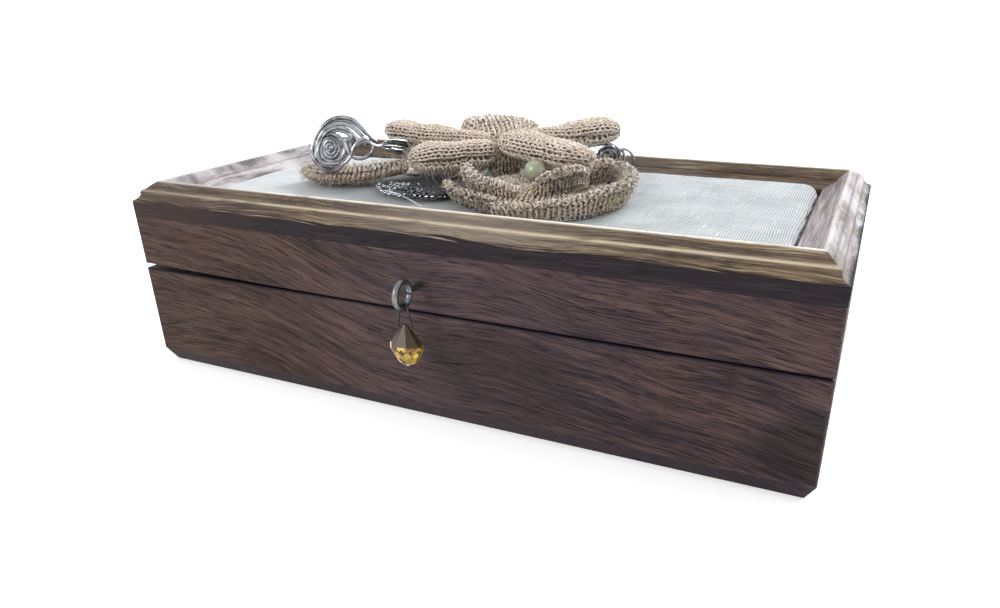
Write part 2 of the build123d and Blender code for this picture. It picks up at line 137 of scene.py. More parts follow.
def size(name):
    """A size from the panel, in millimetres."""
    return getattr(bpy.context.scene.box_sizes, name) / MM


def colour(name, shade=1.0):
    """A colour from the panel, darkened or lightened by a factor, as a shader takes it."""
    return (*(min(1.0, part * shade) for part in getattr(bpy.context.scene.box_colours, name)), 1.0)


def screen(*parts):
    """A colour given as 0 to 255 on a screen, as a shader takes it."""
    return (*linear(*parts), 1.0)


class Tone:
    """A value or colour inside a material. Arithmetic on a value adds the Math nodes for it."""

    def __init__(self, finish, socket):
        self.finish, self.socket = finish, socket

    def _math(self, operation, *values):
        return self.finish.node("Math", dict(enumerate(values)), operation=operation)

    def __add__(self, other):
        return self._math("ADD", self, other)

    def __sub__(self, other):
        return self._math("SUBTRACT", self, other)

    def __rsub__(self, other):
        return self._math("SUBTRACT", other, self)

    def __mul__(self, other):
        return self._math("MULTIPLY", self, other)

    def __truediv__(self, other):
        return self._math("DIVIDE", self, other)

    def __abs__(self):
        return self._math("ABSOLUTE", self)

    def sine(self):
        return self._math("SINE", self)

    __radd__ = __add__
    __rmul__ = __mul__


class Finish:
    """One material: a Principled shader and the nodes that feed it."""

    def __init__(self, name, **constants):
        self.material = bpy.data.materials.new(name)
        self.material.use_nodes = True
        self.tree = self.material.node_tree
        self.tree.nodes.clear()
        self.shader = self.tree.nodes.new("ShaderNodeBsdfPrincipled")
        self.output = self.tree.nodes.new("ShaderNodeOutputMaterial")
        self.tree.links.new(self.shader.outputs[0], self.output.inputs["Surface"])
        self.feed(self.shader, constants)

    def feed(self, node, values):
        """Sets or links sockets. A socket goes by its number or its name, such as base_color for Base Color."""
        for key, value in values.items():
            if isinstance(key, str):
                key = key.replace("_", " ").title().replace("Ior", "IOR")
            if isinstance(value, Tone):
                self.tree.links.new(value.socket, node.inputs[key])
            else:
                node.inputs[key].default_value = value

    def node(self, kind, inputs, output=0, **settings):
        """Any node: its settings first, then the values or links of its sockets."""
        node = self.tree.nodes.new("ShaderNode" + kind)
        for key, value in settings.items():
            setattr(node, key, value)
        self.feed(node, inputs)
        return Tone(self, node.outputs[output])

    def millimetres(self):
        """X, Y and Z of the point on the object, in millimetres."""
        place = self.node("TexCoord", {}, "Object")
        scaled = self.node("Mapping", {"vector": place, "scale": (1 / MM,) * 3})
        split = self.node("SeparateXYZ", {0: scaled}).socket.node
        return [Tone(self, socket) for socket in split.outputs]

    def point(self, x, y, z):
        return self.node("CombineXYZ", {0: x, 1: y, 2: z})

    def noise(self, point, scale, detail=2.0, rough=0.5, bend=0.0):
        values = {"vector": point, "scale": scale, "detail": detail, "roughness": rough, "distortion": bend}
        return self.node("TexNoise", values)

    def grain(self, x, y, z, detail=2.0, rough=0.5, bend=0.0):
        return self.noise(self.point(x, y, z), 1.0, detail, rough, bend)

    def step(self, value, low, high):
        """0 below low and 1 above high, eased between them. Low may be the greater."""
        values = {"value": value, "from_min": low, "from_max": high}
        if low > high:
            values = {"value": value, "from_min": high, "from_max": low, "to_min": 1, "to_max": 0}
        return self.node("MapRange", values, interpolation_type="SMOOTHSTEP")

    def near(self, value, target, reach):
        """1 at the target, falling to 0 at this reach from it."""
        return self.step(abs(value - target), reach, 0)

    def oval(self, x, y, middle, squares, outer, inner):
        """1 inside an oval, easing to 0 outside it. The squares are those of its half length and half width."""
        across, up = x - middle[0], y - middle[1]
        return self.step(across * across / squares[0] + up * up / squares[1], outer, inner)

    def mix(self, factor, first, second):
        return self.node("Mix", {0: factor, 6: first, 7: second}, 2, data_type="RGBA")

    def layers(self, tone, *layers):
        """Colours laid over a tone in turn, each as strongly as its factor says."""
        for factor, over in layers:
            tone = self.mix(factor, tone, over)
        return tone

    def bump(self, height, distance, strength):
        return self.node("Bump", {"height": height, "distance": distance * MM, "strength": strength})

    def paint(self, **feeds):
        """Links what varies over the surface to the shader."""
        self.feed(self.shader, feeds)
        return self.material


def walnut(name, along_x, seed, warm_end=False):
    """Open-pored dark walnut whose grain sweeps down to the right, as on the front of the box."""
    f = Finish(name, specular_ior_level=0.16)
    x, y, z = f.millimetres()
    run, across = (x, y) if along_x else (y, x)
    sweep = f.step(run, -112, 0) * 24 + f.step(run, 10, 170) * 20
    line = z + across * 0.35 + sweep + f.grain(run * 0.012, across * 0.02 + seed, z * 0.016, 1) * 17
    broad = f.grain(run * 0.009, across * 0.02 + seed, line * 0.09, 3, 0.6)
    streak = f.grain(run * 0.018, across * 0.2 + seed, line * 0.4, 4, 0.62)
    fibre = f.grain(run * 0.07, across * 1.3 + seed, line * 2.6, 3, 0.7)
    pore = f.step(f.grain(run * 0.12 + seed, across * 2.1, line * 3, bend=0.1), 0.54, 0.68)
    figure = f.grain(run * 0.06 + seed, across * 0.06, line * 0.02)
    ring = f.step(((broad + streak * 0.05) * 80).sine(), 0.35, 1)
    tone = f.layers(
        colour("walnut_dark", 1.2),
        (f.step(broad, 0.4, 0.58), colour("walnut")),
        (f.step(streak, 0.47, 0.66) * 0.8, colour("walnut_light")),
        (f.step(broad, 0.52, 0.66) * 0.4, colour("walnut_light")),
        (f.step(streak, 0.48, 0.38) * 0.85, colour("walnut_dark")),
        (ring * 0.4, colour("walnut_dark", 0.8)),
    )
    warmth = f.step(figure, 0.45, 0.7) * 0.3
    if warm_end:
        warmth = f.step(run, 20, -140) * 0.45 + f.step(figure, 0.5, 0.7) * 0.2
        tone = f.mix(f.step(run, -60, 30) * 0.3, tone, screen(58, 44, 58))
        tone = f.mix(f.near(run, 5, 95) * 0.22, tone, screen(98, 84, 92))
    tone = f.layers(
        tone,
        (warmth, colour("walnut_warm")),
        (f.step(fibre, 0.47, 0.62) * 0.5, colour("walnut_light", 1.1)),
        (pore * 0.75, colour("walnut_dark", 0.5)),
    )
    if warm_end:
        # A dark blot, a dark right corner and a crack, as the front has
        blot = f.oval(run, z, (34, 26), (1150, 420), 1.5, 0.2)
        jag = f.grain(run * 0.25, 0, 0) * 3
        crack = f.near(z - jag - run * 0.136, 24.6, 0.36) * f.step(run, -2, 2) * f.step(run, 27, 22)
        tone = f.layers(
            tone,
            (blot * f.step(broad, 0.3, 0.6) * 0.5, colour("walnut_dark", 0.8)),
            (f.oval(run, z, (152, 20), (700, 200), 1.4, 0.3) * 0.65, colour("walnut_dark", 0.9)),
            (crack * 0.9, colour("walnut_dark", 0.3)),
        )
    tone = f.layers(
        tone,
        # Painted shade: darker on the bottom bevel, which faces down
        (f.step(z, 7.6, 5.6) * 0.75, screen(30, 18, 30)),
        # A painted highlight along the top edge of the bevel
        (f.near(z, 7.4, 0.5) * 0.3 * f.step(streak, 0.4, 0.6), colour("walnut_light", 1.3)),
        # A painted shadow line where the lid meets the base
        (f.near(z, 47.3, 1.7) * 0.9, screen(14, 10, 26)),
    )
    relief = f.bump(fibre * 0.35 + streak * 0.4 - pore * 0.9, 0.35, 0.55)
    return f.paint(base_color=tone, roughness=0.58 - streak * 0.14 + pore * 0.2, normal=relief)


def moulding_wood(name, along_x, seed, pale=0.0):
    """Golden brown, streaky and waxed, with a dark stained band below. Its ridge and bead are rubbed pale and
    carry painted highlights, its step painted shade; pale paints glare on it as a silvery tone.
    """
    f = Finish(name, specular_ior_level=0.2 - 0.15 * pale, coat_roughness=0.3)
    x, y, z = f.millimetres()
    run, across = (x, y) if along_x else (y, x)
    inward = abs(FRONT) - abs(y) if along_x else SIDE - abs(x)
    line = z * 0.9 + across * 0.7 + f.grain(run * 0.02, across * 0.05 + seed, z * 0.05) * (9 - 6 * pale)
    broad = f.grain(run * 0.016 + seed, 0, line * 0.22, 3, 0.6)
    streak = f.grain(run * 0.035, seed, line * 1.1, 4, 0.65)
    fibre = f.grain(run * 0.13 + seed, across * 2, line * 3.4, 3, 0.6)
    pore = f.step(f.grain(run * 0.11, seed, line * 2.3, 1), 0.6, 0.69)
    spots = f.grain(run * 0.9, across * 0.9, z * 0.9 + seed, 3, 0.7)
    wear_and_glint = f.grain(run * 0.06 + seed, across * 0.2, z * 0.2, 3)
    scratch = f.grain(run * 1.6, across * 0.8, z * 0.5 + seed, 3, 0.7)
    scuffed = f.step(run, -82, -66) * f.step(run, 0, -26) * f.step(z, WALL_TOP + 11.4, WALL_TOP + 12.2)
    # Painted glare: as much as pale says, the wood turns pale and silvery, differently at the left and the right
    # end
    silver = f.mix(
        f.step(x, -20, 20),
        f.mix(f.step(streak, 0.35, 0.65), screen(104, 98, 100), screen(200, 194, 198)),
        f.mix(f.step(streak, 0.4, 0.6), screen(126, 116, 112), screen(178, 172, 178)),
    )
    # Painted shade at the foot of the step and along a line between the bead and the ridge
    shade_lines = f.near(z, WALL_TOP + 9.3, 0.9) * f.near(inward, 3, 1.4) + f.near(inward, 6.2, 0.9) * 0.8
    # The ridge and the bead are rubbed pale and also carry a painted highlight
    ridge, bead = f.near(z, WALL_TOP + 14.8, 0.9), f.near(z, WALL_TOP + 11, 0.7) * f.near(inward, 4.2, 1.8)
    band = f.step(z + (streak - 0.5) * (5 - 4 * pale), WALL_TOP + 7.6, WALL_TOP + 6.4)
    band = band * f.step(inward, 2.5, 1.5)
    tone = f.layers(
        colour("moulding_dark", 1.1),
        (f.step(broad, 0.35, 0.6), colour("moulding")),
        (f.step(streak, 0.5, 0.72) * 0.7, colour("moulding_light", 0.8)),
        (f.step(streak, 0.48, 0.32) * 0.8, colour("moulding_dark")),
        (f.step(fibre, 0.5, 0.75) * 0.4, colour("moulding_light", 0.85)),
        (pore * 0.7, colour("moulding_dark", 0.6)),
        (scuffed * f.step(scratch, 0.46, 0.58) * 0.75, colour("moulding_dark", 0.6)),
        # Painted glare on the end mouldings
        (pale, silver),
        # Painted shade along the step and between the bead and the ridge
        (shade_lines * 0.7, colour("moulding_dark", 0.6)),
        # Rubbed pale and a painted highlight along the bead and the ridge
        (bead * f.step(wear_and_glint, 0.22, 0.5) * (1 - pale), colour("moulding_light")),
        (ridge * f.step(wear_and_glint, 0.2, 0.45) * (1 - 0.9 * pale), screen(242, 234, 218)),
        (f.step(spots, 0.6, 0.75) * f.step(wear_and_glint, 0.5, 0.62) * 0.7, colour("moulding_dark", 0.7)),
        (band * 0.95, f.mix(f.step(streak, 0.5, 0.8) * 0.3, colour("fascia"), colour("walnut", 0.7))),
        # Painted shade: darker along the inner edge at the back
        (f.step(inward, 11, 12.5) * f.step(y, 0, 40) * 0.3, colour("moulding_dark", 0.9)),
    )
    if along_x:
        tone = f.mix(f.near(x, 15, 75) * 0.22 * (1 - band), tone, screen(176, 166, 156))
        tone = f.mix(f.step(x, -50, -130) * 0.5, tone, colour("moulding_dark"))
    relief = f.bump(fibre * 0.4 + streak * 0.7 - pore * 0.8, 0.4, 0.6)
    coat = (0.12 + wear_and_glint * 0.2) * (1 - band) * (1 - pale)
    rough = 0.46 - streak * 0.12 + pore * 0.15 + band * 0.25 + 0.25 * pale
    return f.paint(base_color=tone, roughness=rough, coat_weight=coat, normal=relief)


def bare_board(name):
    f = Finish(name, specular_ior_level=0.3)
    x, y, z = f.millimetres()
    line = y + f.grain(x * 0.01, y * 0.02, z) * 26
    grain = f.grain(x * 0.012, line * 0.2, z, 4, 0.6)
    fibre = f.grain(x * 0.12, line * 1.9, z * 0.5, 3)
    tone = f.layers(
        colour("board", 0.72),
        (f.step(grain, 0.35, 0.65), colour("board")),
        (f.step(fibre, 0.4, 0.75) * 0.5, colour("board", 1.3)),
        # Painted shade: the top of the board is dark where it shows in the gap between the pad and the moulding
        (f.step(z, BOARD_TOP - 1, BOARD_TOP - 0.4), screen(44, 34, 30)),
    )
    return f.paint(base_color=tone, roughness=0.72 - fibre * 0.15, normal=f.bump(fibre + grain, 0.25, 0.5))


def felt(name, slot_colour):
    f = Finish(name, specular_ior_level=0.15, sheen_weight=0.5, sheen_roughness=0.6)
    point = f.point(*f.millimetres())
    nap, cloud = f.noise(point, 2.6, 4, 0.7, 0.6), f.noise(point, 0.05, 3)
    tone = f.layers(
        colour(slot_colour, 0.6),
        (f.step(nap, 0.35, 0.7), colour(slot_colour, 1.3)),
        (f.step(cloud, 0.4, 0.7) * 0.35, colour(slot_colour, 1.7)),
    )
    return f.paint(base_color=tone, roughness=0.96 - cloud * 0.08, normal=f.bump(nap, 0.3, 0.7))


def linen_weave(name):
    """Plain weave with thick and thin threads, a few slubs and faint marks, with painted shade under the flower
    and in front of it, and painted light towards the left end.
    """
    f = Finish(name, specular_ior_level=0.08, sheen_weight=0.05, sheen_roughness=0.5)
    x, y, z = f.millimetres()
    pitch = size("weave_pitch")
    sway = f.grain(x * 0.05, y * 0.035, 0, 3) * 2.4
    over, under = ((x + sway) * (pi / pitch)).sine(), ((y + sway * 0.6) * (pi / pitch)).sine()
    warp = (1 - abs(over) * 0.9) * (0.6 + f.grain((x + sway) * 1.05, y * 0.03, 0, 1))
    weft = (1 - abs(under) * 0.9) * (0.5 + f.grain(x * 0.03, y * 1.05, 7, 1))
    pick = f.step(over * under, -0.5, 0.5)
    height = warp * (0.45 + pick * 0.4) + weft * (0.75 - pick * 0.4)
    slub = f.step(f.grain(x * 0.9, y * 0.09, 3, 1), 0.66, 0.8)
    slub = slub + f.step(f.grain(x * 0.07, y * 0.9, 5, 1), 0.68, 0.8)
    cloud = f.grain(x * 0.02, y * 0.035, 9, 4, 0.6)
    fleck = f.grain(x * 1.6, y * 1.6, z, 3, 0.8)
    worn = f.grain(x * 0.05, y * 0.07, 4, 4)
    tone = f.layers(
        colour("linen_shade", 0.7),
        (f.step(height, 0.15, 1) * 0.82 + f.step(worn, 0.3, 0.7) * 0.18, colour("linen")),
        (slub * 0.4, colour("linen", 1.1)),
        (f.step(cloud, 0.5, 0.85) * 0.2, colour("linen_shade")),
        (f.step(fleck, 0.68, 0.8) * 0.35, colour("jute_dark")),
        # Painted light: lighter towards the left end
        (f.step(x, -50, -95) * 0.25, colour("linen", 1.1)),
        # A painted shadow under the flower
        (f.oval(x, y, (-24, 1), (1000, 480), 1.5, 0.6) * 0.93, screen(38, 34, 48)),
        # Lighter painted shade over the front of the pad, below the trimmings
        (f.oval(x, y, (-24, -16), (3600, 1100), 1.4, 0.3) * 0.45, screen(96, 98, 104)),
    )
    relief = f.bump(height + slub * 0.4 + fleck * 0.15, 0.3, 0.85)
    return f.paint(base_color=tone, roughness=0.9 - cloud * 0.1, normal=relief)


def jute_yarn(name, shade=1.0, dirt=0.4, olive=0.4, clean=0.0):
    """Spun jute: fine fibres along the yarn, paler and browner patches, a yellow cast in places."""
    f = Finish(name, specular_ior_level=0.25, sheen_weight=0.3 + clean * 0.5, sheen_roughness=0.5)
    point = f.point(*f.millimetres())
    elsewhere = f.node("Mapping", {"vector": point, "location": (31, 17, 5)})
    fibre, lump = f.noise(point, 5.5, 3, 0.75, 0.8), f.noise(point, 0.9, 2, 0.6)
    brown, yellow = f.noise(point, 0.075, 3, 0.6), f.noise(elsewhere, 0.06)
    tone = f.layers(
        colour("jute_dark", 1.2 * shade),
        (f.step(fibre, 0.34 - 0.1 * clean, 0.68 - 0.15 * clean), colour("jute", shade)),
        (f.step(fibre, 0.55, 0.75) * 0.7, colour("jute_light", shade)),
        (f.step(lump, 0.5, 0.72) * 0.5, colour("jute_light", shade)),
        (f.step(lump, 0.48, 0.3) * dirt, colour("jute_dark", shade)),
        (f.step(brown, 0.5, 0.7) * dirt, screen(150, 112, 84)),
        (f.step(yellow, 0.52, 0.7) * olive, screen(186, 176, 128)),
    )
    relief = f.bump(fibre + lump * 0.3, 0.14, 0.7)
    return f.paint(base_color=tone, roughness=0.92 - fibre * 0.12, normal=relief)


def metal(name, base, dark, rough, blotch=0.4, scale=0.5, scratch=0.15):
    """Metal with a dull tarnish in blotches, fine scratches and small dents. On the wire the blotches are painted
    highlights and reflections.
    """
    f = Finish(name, metallic=1)
    x, y, z = f.millimetres()
    tarnish_and_glint = f.noise(f.point(x, y, z), scale, 4, 0.65, 0.4)
    fine = f.grain(x * 6, y * 6, z * 0.8, 3, 0.7)
    tone = f.layers(
        base, (f.step(tarnish_and_glint, 0.42, 0.66) * blotch, dark), (f.step(fine, 0.6, 0.8) * scratch, (0.9, 0.9, 0.9, 1))
    )
    relief = f.bump(tarnish_and_glint + fine * 0.5, 0.06, 0.5)
    return f.paint(base_color=tone, roughness=rough + tarnish_and_glint * 0.22 - fine * 0.06, normal=relief)


def pearly(name, base, rough, fineness=1.8):
    f = Finish(name, specular_ior_level=0.6, coat_weight=0.6, coat_roughness=0.12, sheen_weight=0.15)
    point = f.point(*f.millimetres())
    cloud, fine = f.noise(point, 0.35, 3, 0.5, 1.2), f.noise(point, fineness, 3, 0.6)
    tone = f.layers(
        colour(base, 0.82),
        (f.step(cloud, 0.35, 0.7), colour(base, 1.08)),
        (f.step(fine, 0.55, 0.75) * 0.25, screen(172, 178, 140)),
    )
    return f.paint(base_color=tone, roughness=rough + cloud * 0.12, normal=f.bump(fine, 0.06, 0.4))


def crystal_glass(name, low):
    """Amber glass with a painted view of the wood behind it: clear and brown at its top, with bright golden facets
    low on its right that are painted glints and glow a little.
    """
    f = Finish(name, roughness=0.03, transmission_weight=1, ior=1.55)
    x, y, z = f.millimetres()
    patch = f.step(z, low + 9.6, low + 7.8) * f.step(x, -3, -1.4)
    f.paint(base_color=f.mix(patch, colour("amber"), colour("gold")))
    # Bright lines along the left and the right edge, where more of the painted wood shows through: painted
    # highlights
    rim = f.near(x + z * 0.67, low * 0.67 + 0.6, 0.8) * f.step(z, low + 10.4, low + 9.6)
    rim = rim + f.near(x + z * 0.62, low * 0.62 + 13.1, 0.5) * f.step(z, low + 9.6, low + 10.6)
    # A painted view of the wood seen through the glass, lighter at the left
    seen = f.mix(f.step(x, -1, -4), screen(62, 48, 36), screen(98, 76, 66))
    wood = {"base_color": f.mix(rim, seen, screen(238, 218, 190)), "roughness": 0.3, "specular_ior_level": 0.3}
    clear = {0: 0.84 - patch * 0.66 + rim, 1: Tone(f, f.shader.outputs[0]), 2: f.node("BsdfPrincipled", wood)}
    # Painted glints: each cell of the pattern is a facet with its own brightness, and the bright facets glow a
    # little
    facet = f.node("TexVoronoi", {"vector": f.point(x, y, z), "scale": 0.52, "randomness": 1}, 1, feature="F1")
    facet = f.node("SeparateColor", {0: facet})
    glint = f.mix(f.step(facet, 0.2, 0.8), colour("gold", 0.25), colour("gold", 0.9))
    spark = {"base_color": glint, "emission_color": glint, "emission_strength": 0.1, "metallic": 0.6}
    spark = f.node("BsdfPrincipled", {**spark, "roughness": 0.16})
    join = {0: patch * 0.8 * f.step(facet, 0.2, 0.5), 1: f.node("MixShader", clear), 2: spark}
    f.feed(f.output, {"surface": f.node("MixShader", join)})
    return f.material


def dress(material, *names):
    """Gives CAD nodes their finish."""
    for name in names:
        for place in nodes[name].material_slots:
            place.material = material


def placed(name, data):
    """A new object in the scene."""
    holder = bpy.data.objects.new(name, data)
    bpy.context.scene.collection.objects.link(holder)
    return holder


def clamp(value, low=0.0, high=1.0):
    return min(max(value, low), high)


def ease(value, low, high):
    share = clamp((value - low) / (high - low))
    return share * share * (3 - 2 * share)


def any_way(rng):
    """A random direction."""
    return Vector([rng.gauss(0, 1) for _ in range(3)]).normalized()


def as_mesh(shape):
    mesh = bpy.data.meshes.new("part")
    shape.to_mesh(mesh)
    shape.free()
    return mesh


def open_edges(shape):
    return [edge for edge in shape.edges if edge.is_boundary]


def sealed(shape):
    """The mesh of a shape with its open ends filled and its faces turned outwards."""
    bmesh.ops.holes_fill(shape, edges=open_edges(shape), sides=0)
    bmesh.ops.recalc_face_normals(shape, faces=shape.faces)
    return as_mesh(shape)


def strands(lines, radius, section=None, lay=0.0, sides=4, smooth=False, closed=False, taper=None):
    """Yarn or wire as one mesh: a spline for each line of points in millimetres, thickened by its bevel."""
    curve = bpy.data.curves.new("strands", "CURVE")
    curve.dimensions = "3D"
    curve.use_fill_caps = True
    curve.bevel_depth = MM
    curve.bevel_resolution = (sides - 4) // 2
    curve.resolution_u = 5
    if section:
        curve.bevel_mode = "OBJECT"
        curve.bevel_object = section
    for line in lines:
        spline = curve.splines.new("NURBS" if smooth else "POLY")
        spline.points.add(len(line) - 1)
        spline.points.foreach_set("co", [part for p in line for part in (p.x * MM, p.y * MM, p.z * MM, 1.0)])
        widths = [radius * (taper(i / (len(line) - 1)) if taper else 1.0) for i in range(len(line))]
        spline.points.foreach_set("radius", widths)
        if lay:
            turned, tilts = 0.0, []
            for before, after in zip([line[0], *line], line):
                turned += (after - before).length * TURN / lay
                tilts.append(turned)
            spline.points.foreach_set("tilt", tilts)
        if smooth:
            spline.order_u = 3
            spline.use_endpoint_u = not closed
        spline.use_cyclic_u = closed
    holder = placed("strands", curve)
    mesh = bpy.data.meshes.new_from_object(holder.evaluated_get(bpy.context.evaluated_depsgraph_get()))
    bpy.data.objects.remove(holder)
    bpy.data.curves.remove(curve)
    return mesh


def yarn(lines, radius, lay=4.2):
    """Strands of two plies that lie together and turn once in each lay."""
    curve = bpy.data.curves.new("yarn_section", "CURVE")
    curve.dimensions = "2D"
    spline = curve.splines.new("POLY")
    spline.points.add(5)
    for i, point in enumerate(spline.points):
        angle = i * TURN / 6
        reach = MM * (0.76 + 0.24 * cos(2 * angle))
        point.co = (reach * cos(angle), reach * sin(angle), 0, 1)
    spline.use_cyclic_u = True
    section = placed("yarn_section", curve)
    mesh = strands(lines, radius, section, lay)
    bpy.data.objects.remove(section)
    bpy.data.curves.remove(curve)
    return mesh


def fibres(lines, material):
    """Loose fibres with their finish."""
    return strands(lines, size("fibre_radius")), material


def finished(name, parts, slot, *replaced):
    """One object out of meshes that each have a finish. It rides on the lid and stands for its CAD nodes."""
    joined = bmesh.new()
    mesh = bpy.data.meshes.new(name)
    for index, (part, material) in enumerate(parts):
        mesh.materials.append(material)
        first = len(joined.faces)
        joined.from_mesh(part)
        joined.faces.ensure_lookup_table()
        for face in joined.faces[first:]:
            face.material_index = index
            face.smooth = True
        bpy.data.meshes.remove(part)
    joined.to_mesh(mesh)
    joined.free()
    piece = placed(name, mesh)
    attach(piece, "lid")
    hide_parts(*replaced)
    return piece


def lookup(table, value):
    """The second column of a sorted table at this value of the first."""
    low = clamp(bisect.bisect(table, value, key=lambda row: row[0]) - 1, 0, len(table) - 2)
    (a, b), (c, d) = table[low], table[low + 1]
    share = clamp((value - a) / (c - a)) if c > a else 0.0
    return b + (d - b) * share


def measured(values, spot_of, flatter=1.0):
    """The length run so far along a flat curve at each of these values, from the spot that each value gives."""
    run, last, table = 0.0, spot_of(values[0]), []
    for value in values:
        spot = spot_of(value)
        run += hypot(spot[0] - last[0], flatter * (spot[1] - last[1]))
        table.append((run, value))
        last = spot
    return table


class Pod:
    """The skin of a stuffed petal: a flattened, lumpy teardrop that droops, with a fold along one side."""

    closed = True

    def __init__(
        self, root, tip, root_width, width, thickness, seed, roll=0, droop=0, fold=None, lump=0.9, full=1.15
    ):
        self.root, axis = Vector(root), Vector(tip) - Vector(root)
        self.reach, self.ahead = axis.length, axis.normalized()
        left = UP.cross(self.ahead) if abs(self.ahead.z) < 0.99 else Vector((0, 1, 0))
        self.left = Quaternion(self.ahead, radians(roll)) @ left.normalized()
        self.above = self.ahead.cross(self.left)
        self.near, self.far, self.flat = root_width / 2, width / 2, thickness / width
        self.droop, self.fold, self.lump, self.full = droop, fold, lump, full
        self.seed = Vector((seed, 2 * seed, 0))
        steps = range(SKIN_STEPS + 1)
        lengths = [self.reach * (1 - cos(pi * i / SKIN_STEPS)) / 2 for i in steps]
        self.meridian = measured(lengths, lambda x: (x, self.half_width(x)), 0.8)
        self.turns = measured([-pi / 2 + TURN * i / SKIN_STEPS for i in steps], self.section)
        self.length, self.around = self.meridian[-1][0], self.turns[-1][0]

    def half_width(self, x):
        a, b = self.near, self.reach - self.far
        slope = (self.far - self.near) / (b - a)
        if x < a - self.near * slope:
            return sqrt(max(0.0, self.near**2 - (x - a) ** 2))
        if x > b - self.far * slope:
            return sqrt(max(0.0, self.far**2 - (x - b) ** 2))
        return (self.near + (x - a) * slope) / sqrt(1 - slope * slope)

    def section(self, angle):
        c, s = cos(angle), sin(angle)
        return copysign(abs(c) ** 0.9, c), self.flat * copysign(abs(s) ** self.full, s)

    def share_of(self, angle):
        """How far round the section an angle is, as a share of the whole."""
        angle = (angle + pi / 2) % TURN - pi / 2
        return lookup([(turn, around) for around, turn in self.turns], angle) / self.around

    def girth(self, level):
        return self.around * self.half_width(lookup(self.meridian, level))

    def at(self, level, along, out):
        x = lookup(self.meridian, clamp(level, 0.0, self.length))
        width, share = self.half_width(x), x / self.reach
        angle = lookup(self.turns, (along % 1.0 if along != 1.0 else 1.0) * self.around)
        side, rise = self.section(angle)
        normal = Vector((side * self.flat, rise / self.flat)).normalized() if width > 0.01 else Vector((0, 0))
        if self.fold is not None:
            swing = (angle - self.fold + pi) % TURN - pi
            window = min(1.0, 5 * x / self.reach, 6 * (1 - share))
            out -= 2.6 * window * exp(-((swing / 0.17) ** 2))
        spot = self.root + self.ahead * x + self.left * (side * width + normal[0] * out)
        spot += self.above * (rise * width + normal[1] * out) + UP * self.droop * sin(pi * share)
        if width <= 0.01:
            spot += self.ahead * (out if share > 0.5 else -out)
        return spot + noise.noise_vector(spot / 11 + self.seed) * self.lump


# How tall a band stands along its length, as shares of both
RIM_RISE = ((0, 0.42), (0.26, 0.58), (0.46, 0.98), (0.8, 0.95), (1, 0.7))
STRAP_RISE = ((0, 0.45), (0.12, 0.8), (0.4, 1), (1, 0.9))
SHELL_RISE = (
    (0, 0.3), (0.06, 0.5), (0.18, 0.78), (0.34, 0.95), (0.5, 1),
    (0.66, 0.95), (0.82, 0.78), (0.94, 0.5), (1, 0.3),
)
SLANT_RISE = ((0, 0.45), (0.08, 0.85), (0.18, 1), (0.35, 0.88), (0.65, 0.66), (1, 0.35))


class Band:
    """The skin of a standing band of stitches along an arc: it leans outwards and varies in height."""

    closed = False

    def __init__(
        self, middle, radius, start, sweep, tall, thick, lean, seed, heights, level=0.0, lump=0.7, spread=0.0
    ):
        self.centre, self.level = Vector((*middle, 0)), PAD_LEVEL + level
        self.radius, self.heights = radius, heights
        self.start, self.sweep, self.lean = radians(start), radians(sweep), radians(lean)
        self.tall, self.thick, self.lump, self.spread = tall, thick, lump, spread
        self.seed = Vector((seed, 3 * seed, 0))
        self.length = 2 * (tall - thick) + pi * thick
        self.foot = radius - (tall - thick) / 2 * cos(self.lean)

    def girth(self, level):
        return self.radius * abs(self.sweep)

    def around(self, level):
        """The height, the side and the outward direction at a length run round the band's section."""
        half, straight = self.thick / 2, self.tall - self.thick
        cap = pi * half
        q = level % self.length
        if q < straight:
            return q, half, (0.0, 1.0)
        if q < straight + cap:
            angle = (q - straight) / half
            return straight + half * sin(angle), half * cos(angle), (sin(angle), cos(angle))
        if q < 2 * straight + cap:
            return 2 * straight + cap - q, -half, (0.0, -1.0)
        angle = (q - 2 * straight - cap) / half
        return -half * sin(angle), -half * cos(angle), (-sin(angle), -cos(angle))

    def at(self, level, along, out):
        along = clamp(along)
        tall = max(self.thick, self.tall * lookup(self.heights, along))
        straight = self.tall - self.thick
        up, side, normal = self.around(level)
        if 0 < up < straight:
            up = up * max(0.0, tall - self.thick) / straight
        elif up >= straight:
            up -= max(0.0, self.tall - tall)
        turn = self.start + self.sweep * along
        ray = Vector((cos(turn), sin(turn), 0))
        lean = self.lean + self.spread * sin(5 * turn + self.seed.x)
        rise = ray * cos(lean) + UP * sin(lean)
        outer = ray * sin(lean) - UP * cos(lean)
        foot = self.centre + ray * self.foot + UP * (self.level + self.thick / 2)
        spot = foot + rise * (up + normal[0] * out) + outer * (side + normal[1] * out)
        return spot + noise.noise_vector(spot / 9 + self.seed) * self.lump


class Mat:
    """The skin of a flat round mat with a rolled edge."""

    closed = True

    def __init__(self, middle, radius, thick, seed):
        self.centre, self.thick, self.seed = Vector((*middle, PAD_LEVEL)), thick, Vector((seed, 0, 0))
        self.flat = radius - thick / 2
        self.length = 2 * self.flat + pi * thick / 2

    def profile(self, level):
        half = self.thick / 2
        if level < self.flat:
            return level, self.thick, (0.0, 1.0)
        angle = (level - self.flat) / half
        if angle < pi:
            return self.flat + half * sin(angle), half + half * cos(angle), (sin(angle), cos(angle))
        return max(0.0, self.flat - (level - self.flat - pi * half)), 0.0, (0.0, -1.0)

    def girth(self, level):
        return TURN * max(0.5, self.profile(level)[0])

    def at(self, level, along, out):
        reach, height, normal = self.profile(clamp(level, 0.0, self.length))
        ray = Vector((cos(TURN * along), sin(TURN * along), 0))
        spot = self.centre + ray * (reach + normal[0] * out) + UP * (height + normal[1] * out)
        return spot + noise.noise_vector(spot / 9 + self.seed) * 0.5


